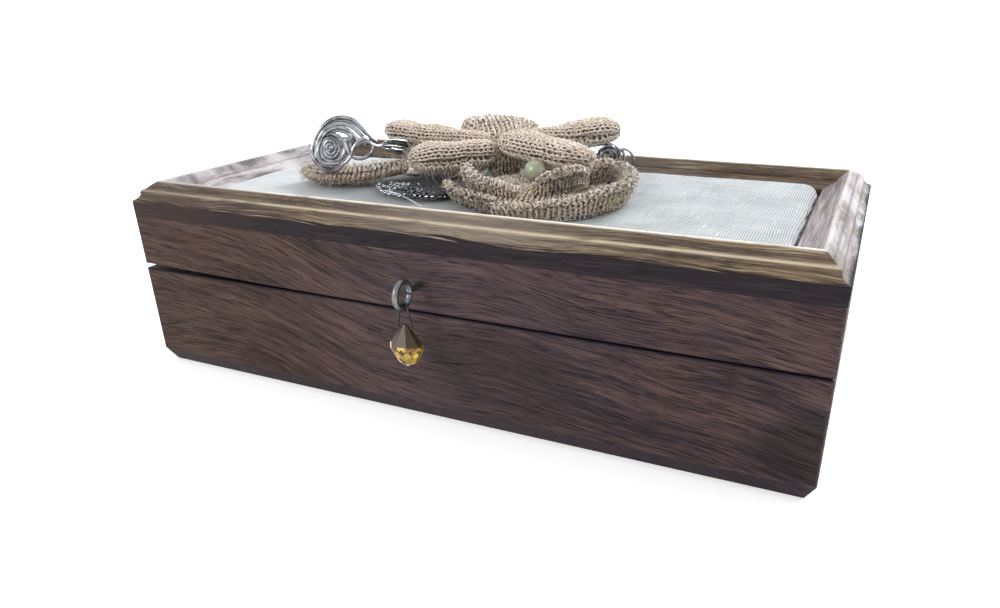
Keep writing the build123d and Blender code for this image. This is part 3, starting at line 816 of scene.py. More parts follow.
def skin_mesh(skin, rows, columns, out):
    """The closed body under the stitches: a grid laid on the skin, its seam and poles merged."""
    body = bmesh.new()
    bmesh.ops.create_grid(body, x_segments=columns, y_segments=rows, size=1)
    for vert in body.verts:
        vert.co = skin.at((vert.co.y + 1) / 2 * skin.length, (vert.co.x + 1) / 2, out) * MM
    bmesh.ops.remove_doubles(body, verts=body.verts, dist=0.01 * MM)
    return sealed(body)


def swings(stitches):
    """The swing of the yarn and how far along it is, in stitches, at each point of a row."""
    for i in range(stitches * LOOP_POINTS + 1):
        swing = i / LOOP_POINTS * TURN
        yield swing, i / LOOP_POINTS + 0.17 * sin(2 * swing)


def stitched(skin, width, height, radius, jitter):
    """Rows of loops over a skin: the yarn swings up and down it, its legs in front and its turns behind."""
    rows = max(2, round(skin.length / height))
    step = skin.length / rows
    lines, stitches = [], 0
    for row in range(rows):
        level = (row + 0.5) * step
        wanted = max(4, round(skin.girth(level) / width))
        if abs(wanted - stitches) > 1:
            stitches = wanted
        points = []
        for swing, place in swings(stitches):
            lift = radius * 0.2 - radius * 0.9 * cos(2 * swing)
            spot = skin.at(level - 0.72 * step * cos(swing), place / stitches, lift)
            points.append(spot + noise.noise_vector(spot * 0.9) * jitter)
        lines.append(points)
    return lines


def fuzz(skin, count, reach, rng):
    """Loose fibres that stand off a skin."""
    lines = []
    for _ in range(count):
        level, along = rng.random() * skin.length, rng.random()
        foot = skin.at(level, along, 0.4)
        out = skin.at(level, along, 1.4) - foot
        drift = any_way(rng)
        span = reach * rng.uniform(0.25, 1.0)
        lines.append([foot, foot + (out * 0.5 + drift * 0.5) * span * 0.6, foot + (out * 0.45 + drift) * span])
    return lines


class BoxOperator(bpy.types.Operator):
    bl_options = {"REGISTER", "UNDO"}


class BOX_OT_stage(BoxOperator):
    """Lays the pale floor, hangs the soft lights and places the camera"""

    bl_idname = "keepsake_box.stage"
    bl_label = "Floor, Lights and Camera"

    def execute(self, context):
        floor = bmesh.new()
        bmesh.ops.create_grid(floor, x_segments=2, y_segments=2, size=6)
        bmesh.ops.translate(floor, verts=floor.verts, vec=(0, 0, -0.0003))
        ground = placed("floor", as_mesh(floor))
        f = Finish("pale_floor", specular_ior_level=0.2, emission_color=(1, 1, 1, 1), emission_strength=0.34)
        speck = f.noise(f.point(*f.millimetres()), 0.02, 3)
        tone = f.mix(speck, (0.86, 0.86, 0.86, 1), (0.9, 0.9, 0.9, 1))
        ground.data.materials.append(f.paint(base_color=tone, roughness=0.8 + speck * 0.1))
        world = bpy.data.worlds.new("studio")
        world.use_nodes = True
        self.light_room(world.node_tree)
        context.scene.world = world
        context.scene.view_settings.view_transform = "Standard"
        for name, spot, target, span, power, warmth in (
            ("window_light", (0.55, 1.3, 0.9), (0, 0, 0.05), 0.8, 34, (0.93, 0.97, 1)),
            ("side_light", (1.5, 0.1, 0.7), (0.1, 0, 0.05), 0.9, 1, (0.95, 0.97, 1)),
            ("front_fill", (-0.5, -1.15, 0.75), (0, 0, 0.08), 0.7, 9, (1, 0.97, 0.93)),
        ):
            lamp = bpy.data.lights.new(name, "AREA")
            lamp.size, lamp.energy, lamp.color = span, power, warmth
            holder = placed(name, lamp)
            holder.location = spot
            holder.rotation_euler = (Vector(target) - Vector(spot)).to_track_quat("-Z", "Y").to_euler()
        self.place_camera(context)
        return {"FINISHED"}

    def light_room(self, tree):
        """An even room, brighter towards the window behind the box."""
        place = tree.nodes.new("ShaderNodeTexCoord")
        split = tree.nodes.new("ShaderNodeSeparateXYZ")
        ramp = tree.nodes.new("ShaderNodeMapRange")
        for socket, value in (("From Min", -0.6), ("From Max", 0.5), ("To Min", 0.82), ("To Max", 1.15)):
            ramp.inputs[socket].default_value = value
        room = tree.nodes["Background"]
        room.inputs["Color"].default_value = (0.965, 0.98, 1, 1)
        tree.links.new(place.outputs["Generated"], split.inputs[0])
        tree.links.new(split.outputs["Y"], ramp.inputs["Value"])
        tree.links.new(ramp.outputs["Result"], room.inputs["Strength"])

    def place_camera(self, context):
        yaw, pitch, roll = 0.438, 0.428, -0.017
        ahead = Vector((-sin(yaw) * cos(pitch), cos(yaw) * cos(pitch), -sin(pitch)))
        level = Vector((cos(yaw), sin(yaw), 0))
        upright = level.cross(ahead)
        right, above = level * cos(roll) + upright * sin(roll), upright * cos(roll) - level * sin(roll)
        lens = bpy.data.cameras.new("camera")
        lens.sensor_width, lens.lens = 36, 27.19
        lens.shift_x, lens.shift_y = -0.024, 0.0451
        lens.clip_start, lens.clip_end = 0.01, 50
        turned = Matrix((right, above, -ahead)).transposed().to_4x4()
        turned.translation = Vector((150.982, -305.186, 155.395)) * MM
        camera = placed("camera", lens)
        camera.matrix_world = turned
        context.scene.camera = camera


class BOX_OT_carcass(BoxOperator):
    """Finishes the walls, the board, the lining and the moulding"""

    bl_idname = "keepsake_box.carcass"
    bl_label = "Walls and Moulding"

    def execute(self, context):
        dress(walnut("walnut_front", True, 3, warm_end=True), "base_front_wall", "lid_front_wall")
        dress(walnut("walnut_back", True, 41), "base_back_wall", "lid_back_wall")
        ends = walnut("walnut_ends", False, 17)
        dress(ends, "base_left_wall", "lid_left_wall", "base_right_wall", "lid_right_wall")
        dress(moulding_wood("moulding_long", True, 5), "moulding_front", "moulding_back")
        # The end mouldings take the painted glare, pale and silvery
        dress(moulding_wood("moulding_short", False, 23, 0.8), "moulding_left", "moulding_right")
        dress(bare_board("bare_board"), "base_floor", "lid_board")
        dress(felt("lining_felt", "lining"), "base_lining")
        return {"FINISHED"}


class BOX_OT_hardware(BoxOperator):
    """Finishes the hinges, their screws and the screw eye, link and crystal"""

    bl_idname = "keepsake_box.hardware"
    bl_label = "Hinges and Pull"

    def execute(self, context):
        brass = metal("aged_brass", colour("brass"), colour("brass", 0.35), 0.3, 0.7)
        dress(brass, *(name for name in nodes if "hinge" in name))
        dress(metal("dull_steel", colour("steel"), colour("steel", 0.4), 0.3, 0.5, 0.9, 0.3), "screw_eye")
        dress(metal("dark_steel", colour("steel", 0.25), colour("steel", 0.1), 0.35, 0.5), "pendant_link")
        dress(crystal_glass("amber_crystal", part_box("crystal_drop")[0].z / MM), "crystal_drop")
        return {"FINISHED"}


class BOX_OT_pad(BoxOperator):
    """Makes the linen pad, crowned and tucked in along the moulding"""

    bl_idname = "keepsake_box.pad"
    bl_label = "Linen Pad"

    def execute(self, context):
        low, high = (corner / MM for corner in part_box("linen_cover"))
        tuck, crown_top, corner, roll = size("pad_tuck"), size("pad_crown"), 7.0, 6.0
        half_x, half_y = high.x - 0.1, high.y - 0.1
        pad = bmesh.new()
        bmesh.ops.create_grid(pad, x_segments=190, y_segments=84, size=1)
        for vert in pad.verts:
            u, v = (copysign(1 - (1 - abs(part)) ** 1.25, part) for part in (vert.co.x, vert.co.y))
            x, y = u * half_x, v * half_y
            # Near a corner the grid is drawn onto the rounded outline
            over_x, over_y = abs(x) - (half_x - corner), abs(y) - (half_y - corner)
            if over_x > 0 and over_y > 0:
                most = max(over_x, over_y)
                drawn = most / hypot(over_x, over_y)
                x = copysign(half_x - corner + over_x * drawn, x)
                y = copysign(half_y - corner + over_y * drawn, y)
                inside = corner - most
            else:
                inside = min(half_x - abs(x), half_y - abs(y))
            edge = max(0.0, 1 - inside / roll)
            pucker = noise.noise(Vector((x * 0.16, y * 0.16, 2)))
            fine = noise.noise(Vector((x * 0.5, y * 0.5, 5)))
            soft = noise.noise(Vector((x * 0.025, y * 0.035, 8)))
            crown = crown_top * (1 - (y / half_y) ** 2)
            # The pad is fuller at its back right
            crown += 2.6 * ease(x, -5, 60) * ease(y, 5, 50) * ease(x, 136, 122)
            top = high.z - crown_top + crown - 0.15
            drop = (top - low.z - 1.2) * (1 - sqrt(max(0.0, 1 - edge**2.6)))
            z = top - drop + 0.35 * soft + edge * (0.3 * pucker + 0.1 * fine) - 0.1
            pull = tuck * edge**2 * (0.75 + 0.6 * pucker)
            spot = Vector((x, y, min(z, high.z + 2.6)))
            spot.x -= copysign(pull * (abs(x) > half_x - corner), x)
            spot.y -= copysign(pull * (abs(y) > half_y - corner), y)
            vert.co = spot * MM
        lowered = bmesh.ops.extrude_edge_only(pad, edges=open_edges(pad))["geom"]
        for item in lowered:
            if isinstance(item, bmesh.types.BMVert):
                item.co.z = (low.z + 0.05) * MM
        parts = [(sealed(pad), linen_weave("linen_weave"))]
        piece = finished("linen_pad", parts, "linen", "linen_cover", "lid_wadding")
        return {"FINISHED"}


PETALS = (
    # node, root, tip, root width, width, thickness, roll, droop, fold angle, seed, how lens-like, stitch size
    ("petal_front_left", (-8.5, 13.2, 93.2), (-45.7, -6.6, 90.6), 21, 23, 13, 22, -0.3, -34, 1.3, 1, 1),
    ("petal_back_left", (-16, 15, 98.5), (-75.6, 23.6, 98.6), 9, 17.5, 9, 4, 0.4, -30, 4.7, 1, 0.9),
    ("petal_back", (-9, 22, 96.6), (-34, 59.5, 99.2), 20, 38, 11, 3, 0.5, 200, 8.1, 0.6, 1.5),
    ("petal_back_right", (-1, 24.5, 99.2), (36.5, 50.3, 100.6), 12, 23, 11, -8, -0.4, 205, 12.9, 1, 1),
    ("petal_front_right", (-6, 13.9, 98.6), (39.3, 4.9, 94), 25, 21.5, 9.6, -8, 0.3, 208, 17.2, 1, 1),
)


class BOX_OT_flower(BoxOperator):
    """Crochets the five petals over their stuffed bodies, and the core that they grow from"""

    bl_idname = "keepsake_box.flower"
    bl_label = "Crochet Flower"

    def execute(self, context):
        # The dark copy of the yarn on the bodies under the stitches paints the shade in the gaps between them
        light, deep = jute_yarn("jute_yarn", 1.3, 0.25, 0.12, 0.8), jute_yarn("jute_deep", 0.3, 0.6)
        olive, crease_shade = jute_yarn("jute_olive", 1.3, 0.25, 0.8, 0.8), jute_yarn("jute_crease", 0.36, 0.5)
        loose = jute_yarn("jute_fibres", 1.15, 0.15)
        for name, root, tip, root_width, width, thickness, roll, droop, fold, seed, full, scale in PETALS:
            bend, radius = radians(fold), size("yarn_radius") * scale**0.5
            skin = Pod(root, tip, root_width, width, thickness, seed, roll, droop, bend, full=full)
            lines = stitched(skin, size("stitch_width") * scale, size("stitch_height") * scale, radius, 0.5)
            # Larger stitches run along both edges, under the fold
            below = -1 if fold < 90 else 1
            for turn in (0.42, 0.86):
                lines.append(self.edge_row(skin, bend + below * turn))
                lines.append(self.edge_row(skin, pi - bend - below * turn))
            turned = skin.share_of(bend)
            folded = [skin.at(skin.length * (0.12 + 0.78 * i / 40), turned, 0.9) for i in range(41)]
            parts = [
                (skin_mesh(skin, 44, 40, -0.8), deep),
                (yarn(lines, radius), olive if name == "petal_back_left" else light),
                # A dark yarn laid in the fold: painted shade of the crease
                (yarn([folded], 0.6), crease_shade),
                fibres(fuzz(skin, 640, 4.2, random.Random(name)), loose),
            ]
            finished(name.replace("petal", "crochet_petal"), parts, "jute", name)
        low, high = (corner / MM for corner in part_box("flower_core"))
        middle = (low + high) / 2
        foot, top = (middle.x, middle.y, low.z), (middle.x, middle.y, high.z + 1.5)
        core = Pod(foot, top, 15.5, 15.5, 15.5, 21, lump=1.4)
        parts = [
            # The dark body paints the shade between the core's stitches
            (skin_mesh(core, 20, 28, -0.4), deep),
            (yarn(stitched(core, 3.4, 2.8, 0.6, 0.5), 0.6), jute_yarn("jute_core", 0.7, 0.6)),
            fibres(fuzz(core, 500, 6.0, random.Random("core")), loose),
        ]
        finished("crochet_core", parts, "jute", "flower_core")
        return {"FINISHED"}

    def edge_row(self, skin, angle):
        """A row of stitches that runs along the side of a petal."""
        points, width, share = [], 3.5, skin.share_of(angle)
        for swing, place in swings(int(skin.length * 0.8 / width)):
            level = skin.length * 0.12 + place * width
            reach = 1.6 / max(12.0, skin.girth(level)) * cos(swing)
            points.append(skin.at(level, share - reach, 0.6 - 0.35 * cos(2 * swing)))
        return points


class BOX_OT_rosette(BoxOperator):
    """Crochets the rosette: a mat, its flared rim, an inner band and three upright scallops"""

    bl_idname = "keepsake_box.rosette"
    bl_label = "Crochet Rosette"

    def execute(self, context):
        tan = jute_yarn("jute_tan", 1.15, 0.4, 0.3, 0.4)
        deep = jute_yarn("jute_shadow", 0.35, 0.6)
        loose = jute_yarn("jute_tan_fibres", 1.0, 0.2)
        # The lighter copy of the yarn on the braids along the top edges paints their highlight
        light = jute_yarn("jute_braid", 1.3, 0.3, 0.2, 0.7)
        # The strap's darker copy of the yarn paints the shade that the petals cast on it
        dull = jute_yarn("jute_strap", 0.85, 0.6, 0.1, 0.2)
        mat = Mat((22, -12), 29.5, 4, 2)
        rim = Band((21, -12), 38.8, -93, 175, 12.0, 3.2, 68, 5.5, RIM_RISE, spread=0.14)
        strap = Band((41.2, 25.5), 74.5, 213.5, 39, 7.4, 3.0, 62, 9.5, STRAP_RISE, spread=0.1)
        self.band("crochet_mat", mat, (24, 48), tan, light, deep, loose, "rosette_base", 200)
        self.band("crochet_rim", rim, (28, 90), tan, light, deep, loose, "rosette_rim", 420)
        self.band("crochet_strap", strap, (24, 50), dull, tan, deep, loose, "rosette_inner_band", 220)
        bodies, lines, braids, hairs, radius = [], [], [], [], size("chain_radius") * 0.9
        rng = random.Random("scallops")
        for middle, reach, start, sweep, tall, heights, seed in (
            ((14.6, -12.7), 24, 213, 79, 11.0, SLANT_RISE, 1),
            ((20.4, -9), 22, -75, 77, 12.0, SHELL_RISE, 2.5),
            ((34, 4), 11, -70, 122, 11.0, SHELL_RISE, 4),
        ):
            fan = Band(middle, reach, start, sweep, tall, 2.8, 69, seed, heights, 4.3, 0.5, 0.12)
            bodies.append((skin_mesh(fan, 24, 36, -0.8), deep))
            lines += stitched(fan, 2.9, 6.0, radius, 0.4)
            braids += self.braid(fan, 3.2, radius)
            hairs += fuzz(fan, 150, 3.5, rng)
        yarns = [(yarn(lines, radius), tan), (yarn(braids, radius * 1.15), light), fibres(hairs, loose)]
        finished("crochet_scallops", bodies + yarns, "jute", "rosette_scallops")
        return {"FINISHED"}

    def braid(self, band, width, radius):
        """Pairs of slanting legs along the top edge of a band, as a chain of crochet shows."""
        legs = []
        top = band.length / 2 - pi * band.thick / 4
        count = round(band.girth(0) / width)
        for i in range(count):
            for side in (-1, 1):
                leg = []
                for ahead, away in ((0.0, 0.0), (0.3, 1.2), (0.8, 1.8), (1.25, 1.4), (1.5, 0.3)):
                    spot = band.at(top + side * away, (i + ahead) / (count + 0.5), radius * 1.2)
                    leg.append(spot + noise.noise_vector(spot * 0.9) * 0.5)
                legs.append(leg)
        return legs

    def band(self, name, skin, grid, tan, light, deep, loose, node, hairs):
        width, height, radius = size("chain_width"), size("chain_height"), size("chain_radius")
        parts = [
            (skin_mesh(skin, *grid, -0.8), deep),
            (yarn(stitched(skin, width, height, radius, 0.4), radius), tan),
            fibres(fuzz(skin, hairs, 3.6, random.Random(name)), loose),
        ]
        if not skin.closed:
            # The braid takes the lighter yarn: a painted highlight along the top edge
            parts.append((yarn(self.braid(skin, width, radius), radius * 1.15), light))
        finished(name, parts, "jute", node)


class BOX_OT_jute_leaf(BoxOperator):
    """Winds the hairy jute leaf under the wire rose"""

    bl_idname = "keepsake_box.jute_leaf"
    bl_label = "Jute Leaf"

    def execute(self, context):
        low, high = (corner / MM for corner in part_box("jute_leaf"))
        tall = (high.z - low.z) / 2
        spine = ((-95.5, -14.5, 0.8), (-88, -19.5, 0.2), (-77, -21.5, 0.2), (-64, -15, 0.9), (-52, -1, 2.6))
        spine = [Vector(p) for p in spine]
        turns, per_turn, wide = 34, 16, 7.8
        points = turns * per_turn
        wraps, hairs = [], []
        rng = random.Random("leaf")
        for i in range(points + 1):
            share = i / points
            angle = i / per_turn * TURN
            middle, side = self.along(spine, clamp(share + 0.018 * sin(angle)))
            swell = sin(pi * (0.08 + 0.74 * share)) ** 0.55
            lump = 1 + 0.1 * noise.noise(Vector((share * 22, 0, 4)))
            spot = middle + side * cos(angle) * wide * swell * lump
            wraps.append(spot + UP * (low.z + tall + 0.8 + sin(angle) * tall * swell * lump))
        core = [self.along(spine, i / 24)[0] + UP * (low.z + tall) for i in range(25)]
        for _ in range(1500):
            foot = wraps[rng.randrange(len(wraps))]
            middle = min(core, key=lambda point: (point - foot).length_squared)
            out = (foot - middle).normalized()
            drift = any_way(rng)
            span = rng.uniform(1.0, 4.6)
            bent, end = foot + (out + drift * 0.5) * span * 0.5, foot + (out * 0.6 + drift) * span * 0.8
            hairs.append([foot, bent, end])
        body = strands([core], 1.0, sides=12, taper=lambda share: 6.6 * sin(pi * (0.06 + 0.88 * share)) ** 0.6)
        for vert in body.vertices:
            vert.co.z = (low.z + tall) * MM + (vert.co.z - (low.z + tall) * MM) * 0.34
        parts = [
            # A dark body under the wraps paints the shade between them
            (body, jute_yarn("jute_leaf_core", 0.4, 0.8)),
            (yarn([wraps], 1.0, 3.4), jute_yarn("jute_brown", 1.1, 0.6, 0.3, 0.4)),
            fibres(hairs, jute_yarn("jute_leaf_hair", 1.0, 0.4)),
        ]
        finished("jute_leaf_wound", parts, "jute", "jute_leaf")
        return {"FINISHED"}

    def along(self, spine, share):
        """A point on the leaf's spine and the level direction across it."""
        place = share * (len(spine) - 1)
        index = min(int(place), len(spine) - 2)
        before, after = spine[max(0, index - 1)], spine[min(len(spine) - 1, index + 2)]
        t, a, b = place - index, spine[index], spine[index + 1]
        point = 0.5 * (
            2 * a + (b - before) * t + (2 * before - 5 * a + 4 * b - after) * t**2
            + (3 * a - before - 3 * b + after) * t**3
        )
        ahead = ((b - before) * (1 - t) + (after - a) * t).normalized()
        return point, UP.cross(ahead)


# Strands of the rose: how far each is in front of its plane, and its points to the right and up, in millimetres
ROSE = (
    (0, (
        (12.2, -2.9), (10.2, -1.1), (8.3, 1.9), (6, 5.3), (3, 7.8), (-0.8, 8.7), (-5, 7.8), (-8.8, 5.3),
        (-12.2, 0.8), (-14.5, -3.8), (-15, -6.8), (-13.7, -10.6), (-11.1, -13.6), (-7.7, -15), (-4.2, -14),
        (-1.2, -10.6), (0.7, -8.3), (2.6, -4.5),
    )),
    (-1.3, (
        (8.9, 0.4), (6.3, 3.6), (3.2, 6.2), (-0.8, 7.3), (-5, 6.5), (-8.8, 3.9), (-11.9, -0.2), (-14, -4.6),
        (-14.2, -7.4), (-12.9, -10.9), (-10, -13.2), (-6.9, -13.8), (-3.9, -12.3), (-0.5, -8.5),
    )),
    (0.9, (
        (7.1, -0.6), (4.6, 2.8), (1.4, 5.1), (-2.2, 6), (-6.2, 4.9), (-9.8, 1.9), (-12.4, -2.9), (-13.4, -7.2),
        (-12.3, -10.6), (-9.4, -12.5), (-6.2, -12.6),
    )),
    (1.5, (
        (4.6, -1.8), (3.4, 1), (1, 3.2), (-2, 4.4), (-5.6, 3.8), (-9, 1.2), (-11.5, -3.2), (-12.7, -7.6),
        (-11.5, -10.2), (-8.6, -11.6), (-4.8, -11.3),
    )),
    (-0.4, (
        (0.4, -8.6), (1.5, -5.3), (2.2, -1.5), (1.2, 1.3), (-1.4, 2.8), (-4.8, 2.9), (-8.2, 0.4), (-10.7, -3.9),
        (-11.7, -7.6),
    )),
    (1, (
        (-6.1, 1.6), (-3.1, 0.9), (-1.3, -1.9), (-0.7, -5.7), (-2.2, -8.7), (-5.4, -10.4), (-8.4, -10.3),
        (-10.6, -8.6), (-10.9, -5.4), (-9.7, -1.9), (-7.4, 0.2), (-4.9, -0.2), (-3.1, -2.4), (-3.1, -6),
        (-4.9, -8.6), (-7.8, -8.8), (-9.4, -6.6), (-9.2, -3.4), (-7.4, -1), (-5.3, -1.4), (-4.3, -3.8),
        (-4.8, -6.6), (-6.7, -7.5), (-8.2, -5.8), (-8, -3.4), (-6.7, -2.4), (-5.6, -3.6), (-5.9, -5.4),
        (-6.9, -5.4),
    )),
    (0.6, ((3.1, 0.2), (1.2, -2.2), (-0.6, -0.6), (-0.2, -4.2), (0.6, -7.9))),
)
# The loop at the head of the stem, to the right, up and out of the rose's plane
STEM_LOOP = (
    (-1.5, -11.4, 1.5), (0.8, -9.5, 1.8), (2.2, -6, 1.9), (5.1, -2.9, 1.8), (8.2, -2, 1.5), (10.6, -3.9, 1.2),
    (10.4, -7.1, 1), (8, -9.3, 1.2), (4.3, -10.1, 1.5), (1.2, -8.6, 2.1), (2.4, -4.8, 2.5), (5.4, -1.6, 2.3),
    (9, -1.2, 1.6),
)
# The long loops of the stem, where they are on the box
STEM_UPPER = (
    (-60.4, -13.8, 97.4), (-59.3, -10.2, 95.6), (-58.7, -7, 97.3), (-57.3, -0.8, 96.9), (-55.6, 6.4, 95),
    (-54.4, 11, 92.4), (-54.6, 10.2, 90), (-56.7, 1.7, 91.4), (-58.1, -4.2, 93.2), (-59.7, -9.9, 95.9),
    (-61, -14.6, 98.4), (-61.6, -16.6, 99.4),
)
STEM_INNER = (
    (-62, -17, 98.6), (-60.2, -12.6, 96.8), (-59.2, -9.2, 96.4), (-57.9, -4.6, 95.8), (-56.9, 0.6, 94.6),
    (-55, 8.4, 92.6), (-54.8, 8.8, 91.4), (-57.2, -0.4, 92.8), (-58.6, -6, 94.4), (-60, -11.6, 96.4),
)
# Tail, arch and bow of the cluster, to the right, up and out of its plane
CLUSTER = (
    (
        (-15.3, 8.6, -2), (-10.5, 9.6, -1.5), (-6, 10.6, -0.6), (-1.6, 9.6, 0.2), (0.8, 6.6, 0.6),
        (0.4, 2, 0.9), (-2.6, -0.8, 0.8), (-6, -1.2, 0.4),
    ),
    (
        (-2, -4.6, 0), (-1.6, 1, 0), (-0.6, 5.5, 0.2), (1.7, 8, 0.5), (4.8, 7, 0.4), (6.9, 3.4, 0.1),
        (7, -1, -0.2), (6.4, -4.8, -0.3),
    ),
    (
        (-9.6, -4.4, 0.5), (-9.4, 1, 0.8), (-7.6, 6.4, 1.2), (-4, 8.4, 1.3), (-0.6, 5.6, 1.2),
        (-1.6, 1.4, 0.8), (-5.4, 0.4, 0.2), (-7.8, 3.6, -0.3), (-5.8, 8, -0.5), (-1.4, 9.4, -0.4),
        (2.6, 6.4, -0.3), (3, 1.4, -0.1), (1.2, -3.8, 0),
    ),
)


class BOX_OT_wire(BoxOperator):
    """Bends the silver wire: the rose, its stem and the small cluster"""

    bl_idname = "keepsake_box.wire"
    bl_label = "Silver Wire"

    def execute(self, context):
        # Long bright and dark blotches along the wire are painted highlights and reflections
        silver = metal("silver_wire", colour("silver", 1.1), colour("silver", 0.14), 0.06, 0.7, 0.16, 0.1)
        radius = size("wire_radius")
        middle = Vector((-69, -22.5, 102))
        # The rose stands on its node's foot
        lift = max(0.0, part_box("wire_rose")[0].z / MM + radius + 14.7 - middle.z)
        middle.z += lift
        put = self.plane(middle, -52, 6)
        lines = [
            [put(x, y, out + 0.5 * sin(i * 0.8 + index * 2.1)) for i, (x, y) in enumerate(strand)]
            for index, (out, strand) in enumerate(ROSE)
        ]
        self.wires("wire_rose_bent", lines, radius * 1.1, silver, "wire_rose")
        upper, inner = ([Vector(p) + Vector((0, 0, lift)) for p in line] for line in (STEM_UPPER, STEM_INNER))
        second = [p + Vector((0.9, 0.2, 1.1)) for p in upper[2:9]]
        lines = [[put(*p) for p in STEM_LOOP] + upper[:1], upper, inner, second]
        self.wires("wire_stem_bent", lines, radius, silver, "wire_stem")
        put = self.plane(Vector((40, 37, 86)), -60, 0)
        ring = []
        for i in range(44):
            angle, reach = i / 10 * TURN, 5.2 - 0.085 * i
            ring.append(put(-4.6 + reach * cos(angle) * 0.85, 4.6 + reach * sin(angle), 1.1 * sin(angle * 1.4)))
        lines = [ring] + [[put(*p) for p in line] for line in CLUSTER]
        self.wires("wire_cluster_bent", lines, radius * 0.85, silver, "wire_cluster")
        return {"FINISHED"}

    def plane(self, middle, facing, lean):
        """A function that places points to the right, up and out of a plane that faces a compass angle."""
        turn, tilt = radians(facing), radians(lean)
        ahead = Vector((cos(turn) * cos(tilt), sin(turn) * cos(tilt), sin(tilt)))
        right = UP.cross(ahead).normalized()
        above = ahead.cross(right)
        return lambda x, y, out: middle + right * (x + 0.09 * max(0.0, x + 8)) + above * y + ahead * out

    def wires(self, name, lines, radius, silver, node):
        finished(name, [(strands(lines, radius, sides=10, smooth=True), silver)], "silver_wire", node)


# The loose wire that runs from under the filigree leaf to the front
LOOSE_WIRE = (
    (-46, -28.9, 81.2), (-41.7, -31.4, 82.2), (-37.3, -31.8, 81.6), (-31, -35.3, 81.3), (-21.2, -42.9, 81.6),
    (-13.7, -48.1, 81.3),
)


class BOX_OT_lace(BoxOperator):
    """Makes the filigree leaf: a scalloped edge, rings, ribs and beads of oxidised silver, bright near its left
    end as a painted highlight and dark in its far rings as painted shade
    """

    bl_idname = "keepsake_box.lace"
    bl_label = "Filigree Leaf"

    def execute(self, context):
        # A bright copy of the silver paints the highlight on the near rings and the edge; a dark copy, also on the
        # beads, paints the shade on the far rings under the flower
        bright = metal("lace_silver", colour("silver", 1.9), colour("silver", 0.15), 0.18, 0.5, 0.9, 0.4)
        dark = metal("lace_beads", colour("silver", 0.22), colour("silver", 0.03), 0.15, 0.8, 0.8, 0.4)
        tip, heading, reach, half = Vector((-54, -19.5, 0)), radians(-15), 42, 8.2
        ahead, left = Vector((cos(heading), sin(heading), 0)), Vector((-sin(heading), cos(heading), 0))

        def on_leaf(u, v, height=0.0):
            """A point at shares of the leaf's length and half width, and a height over it."""
            bulge = sin(pi * clamp(u)) ** 0.7
            wave = 0.5 * noise.noise(Vector((u * 9, v * 3, 1)))
            rise = PAD_LEVEL + 0.9 + height + wave * 0.6 + 0.8 * (1 - v * v)
            return tip + ahead * reach * u + left * half * v * bulge + UP * rise

        rng = random.Random("lace")
        edge, rings, far_rings = [], [], []
        for side in (-1, 1):
            for i in range(22):
                spot = on_leaf(0.03 + i / 23, side)
                ring = self.ring(spot, 1.45 + 0.5 * rng.random(), 0.6 * rng.uniform(-1, 1), rng)
                # Rings towards the flower take the dark copy: painted shade
                (rings if i < 13 else far_rings).append(ring)
            for share, height in ((0.86, 0.1), (0.4, 0.25)):
                edge.append([on_leaf(i / 30, side * share, height) for i in range(31)])
        edge.append([on_leaf(i / 20, 0, 0.35) for i in range(21)])
        for i in range(15):
            for v in (-0.62, -0.18, 0.22, 0.64):
                ring = self.ring(on_leaf(0.06 + i / 16, v + 0.12 * rng.uniform(-1, 1), 0.3), 1.3, 0.5, rng)
                (rings if i < 6 else far_rings).append(ring)
        beads = bmesh.new()
        for i in range(17):
            for v in (-0.95, -0.5, 0.0, 0.45, 0.9):
                spot = on_leaf(0.04 + i / 17 + 0.01 * rng.uniform(-1, 1), v, 0.75) * MM
                ball = bmesh.ops.create_icosphere(beads, subdivisions=1, radius=rng.uniform(0.6, 0.95) * MM)
                bmesh.ops.translate(beads, verts=ball["verts"], vec=spot)
        parts = [
            (strands(rings, 0.33, closed=True), bright),
            (strands(far_rings, 0.36, closed=True), dark),
            (strands(edge, 0.42, sides=6), bright),
            (strands([[Vector(p) for p in LOOSE_WIRE]], 0.4, sides=8, smooth=True), bright),
            (as_mesh(beads), dark),
        ]
        finished("filigree_lace", parts, "filigree", "filigree_leaf")
        return {"FINISHED"}

    def ring(self, centre, radius, tilt, rng):
        lean = rng.uniform(0, TURN)
        points = []
        for i in range(9):
            angle = i * TURN / 9
            rise = tilt * radius * sin(angle + lean)
            points.append(centre + Vector((radius * cos(angle), radius * sin(angle), rise)))
        return points


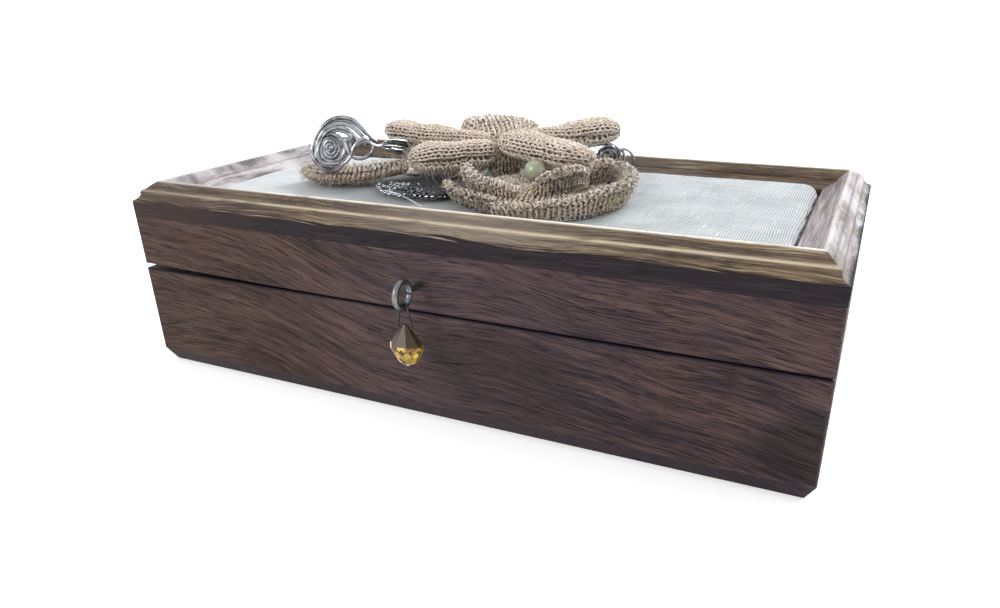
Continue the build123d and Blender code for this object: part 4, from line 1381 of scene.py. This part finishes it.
class BOX_OT_beads(BoxOperator):
    """Turns the pearl bead and the ridged shell disc"""

    bl_idname = "keepsake_box.beads"
    bl_label = "Pearl and Shell"

    def execute(self, context):
        low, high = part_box("pearl_bead")
        radius = (high.z - low.z) / 2
        profile = []
        for i in range(25):
            angle = pi * i / 24
            dimple = 0.12 * exp(-((angle / 0.2) ** 2)) + 0.12 * exp(-(((pi - angle) / 0.2) ** 2))
            profile.append((radius * sin(angle), radius * cos(angle) * (1 - dimple)))
        pearl = self.turned(profile, 40)
        tilt = Matrix.Rotation(radians(64), 3, (0.6, 0.8, 0))
        bmesh.ops.rotate(pearl, verts=pearl.verts, cent=(0, 0, 0), matrix=tilt)
        bmesh.ops.translate(pearl, verts=pearl.verts, vec=(low + high) / 2)
        parts = [(as_mesh(pearl), pearly("pearl_coat", "pearl", 0.22))]
        finished("pearl_bead_turned", parts, "pearl", "pearl_bead")
        low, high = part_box("shell_disc")
        centre, radius, thick = (low + high) / 2, (high.x - low.x) / 2, high.z - low.z
        profile = [(0, thick * 0.9)]
        for i in range(1, 22):
            share = i / 21
            ridge = size("shell_ridge") * MM * sin(share * 30) * 0.5
            profile.append((radius * share * 0.97, thick * (0.95 - 0.35 * share**3) + ridge))
        profile += [(radius, thick * 0.35), (radius * 0.96, 0), (0, 0)]
        disc = self.turned(profile, 56)
        bmesh.ops.translate(disc, verts=disc.verts, vec=(centre.x, centre.y, low.z))
        parts = [(as_mesh(disc), pearly("shell_coat", "shell", 0.3, 2.8))]
        finished("shell_disc_turned", parts, "shell", "shell_disc")
        return {"FINISHED"}

    def turned(self, profile, steps):
        """A closed shape spun about Z from a profile of radii and heights."""
        shape = bmesh.new()
        verts = [shape.verts.new((reach, 0, height)) for reach, height in profile]
        geom = verts + [shape.edges.new(pair) for pair in zip(verts, verts[1:])]
        bmesh.ops.spin(
            shape, geom=geom, cent=(0, 0, 0), axis=(0, 0, 1), angle=TURN, steps=steps, use_merge=True
        )
        bmesh.ops.remove_doubles(shape, verts=shape.verts, dist=0.001 * MM)
        bmesh.ops.recalc_face_normals(shape, faces=shape.faces)
        return shape


class BOX_PT_panel(bpy.types.Panel):
    bl_label = "Keepsake Box"
    bl_idname = "BOX_PT_panel"
    bl_space_type = "VIEW_3D"
    bl_region_type = "UI"
    bl_category = "Keepsake Box"

    def draw(self, context):
        for operator in OPERATORS:
            self.layout.operator(operator.bl_idname)
        for group in (context.scene.box_sizes, context.scene.box_colours):
            column = self.layout.column(align=True)
            for name in group.__annotations__:
                column.prop(group, name)


OPERATORS = (
    BOX_OT_stage, BOX_OT_carcass, BOX_OT_hardware, BOX_OT_pad, BOX_OT_flower,
    BOX_OT_rosette, BOX_OT_jute_leaf, BOX_OT_wire, BOX_OT_lace, BOX_OT_beads,
)
CLASSES = (BoxSizes, BoxColours, *OPERATORS, BOX_PT_panel)


def register():
    for item in CLASSES:
        bpy.utils.register_class(item)
    bpy.types.Scene.box_sizes = bpy.props.PointerProperty(type=BoxSizes)
    bpy.types.Scene.box_colours = bpy.props.PointerProperty(type=BoxColours)


def unregister():
    del bpy.types.Scene.box_colours
    del bpy.types.Scene.box_sizes
    for item in reversed(CLASSES):
        bpy.utils.unregister_class(item)


def main():
    register()
    for operator in OPERATORS:
        group, name = operator.bl_idname.split(".")
        getattr(getattr(bpy.ops, group), name)()


if __name__ == "__main__":
    main()
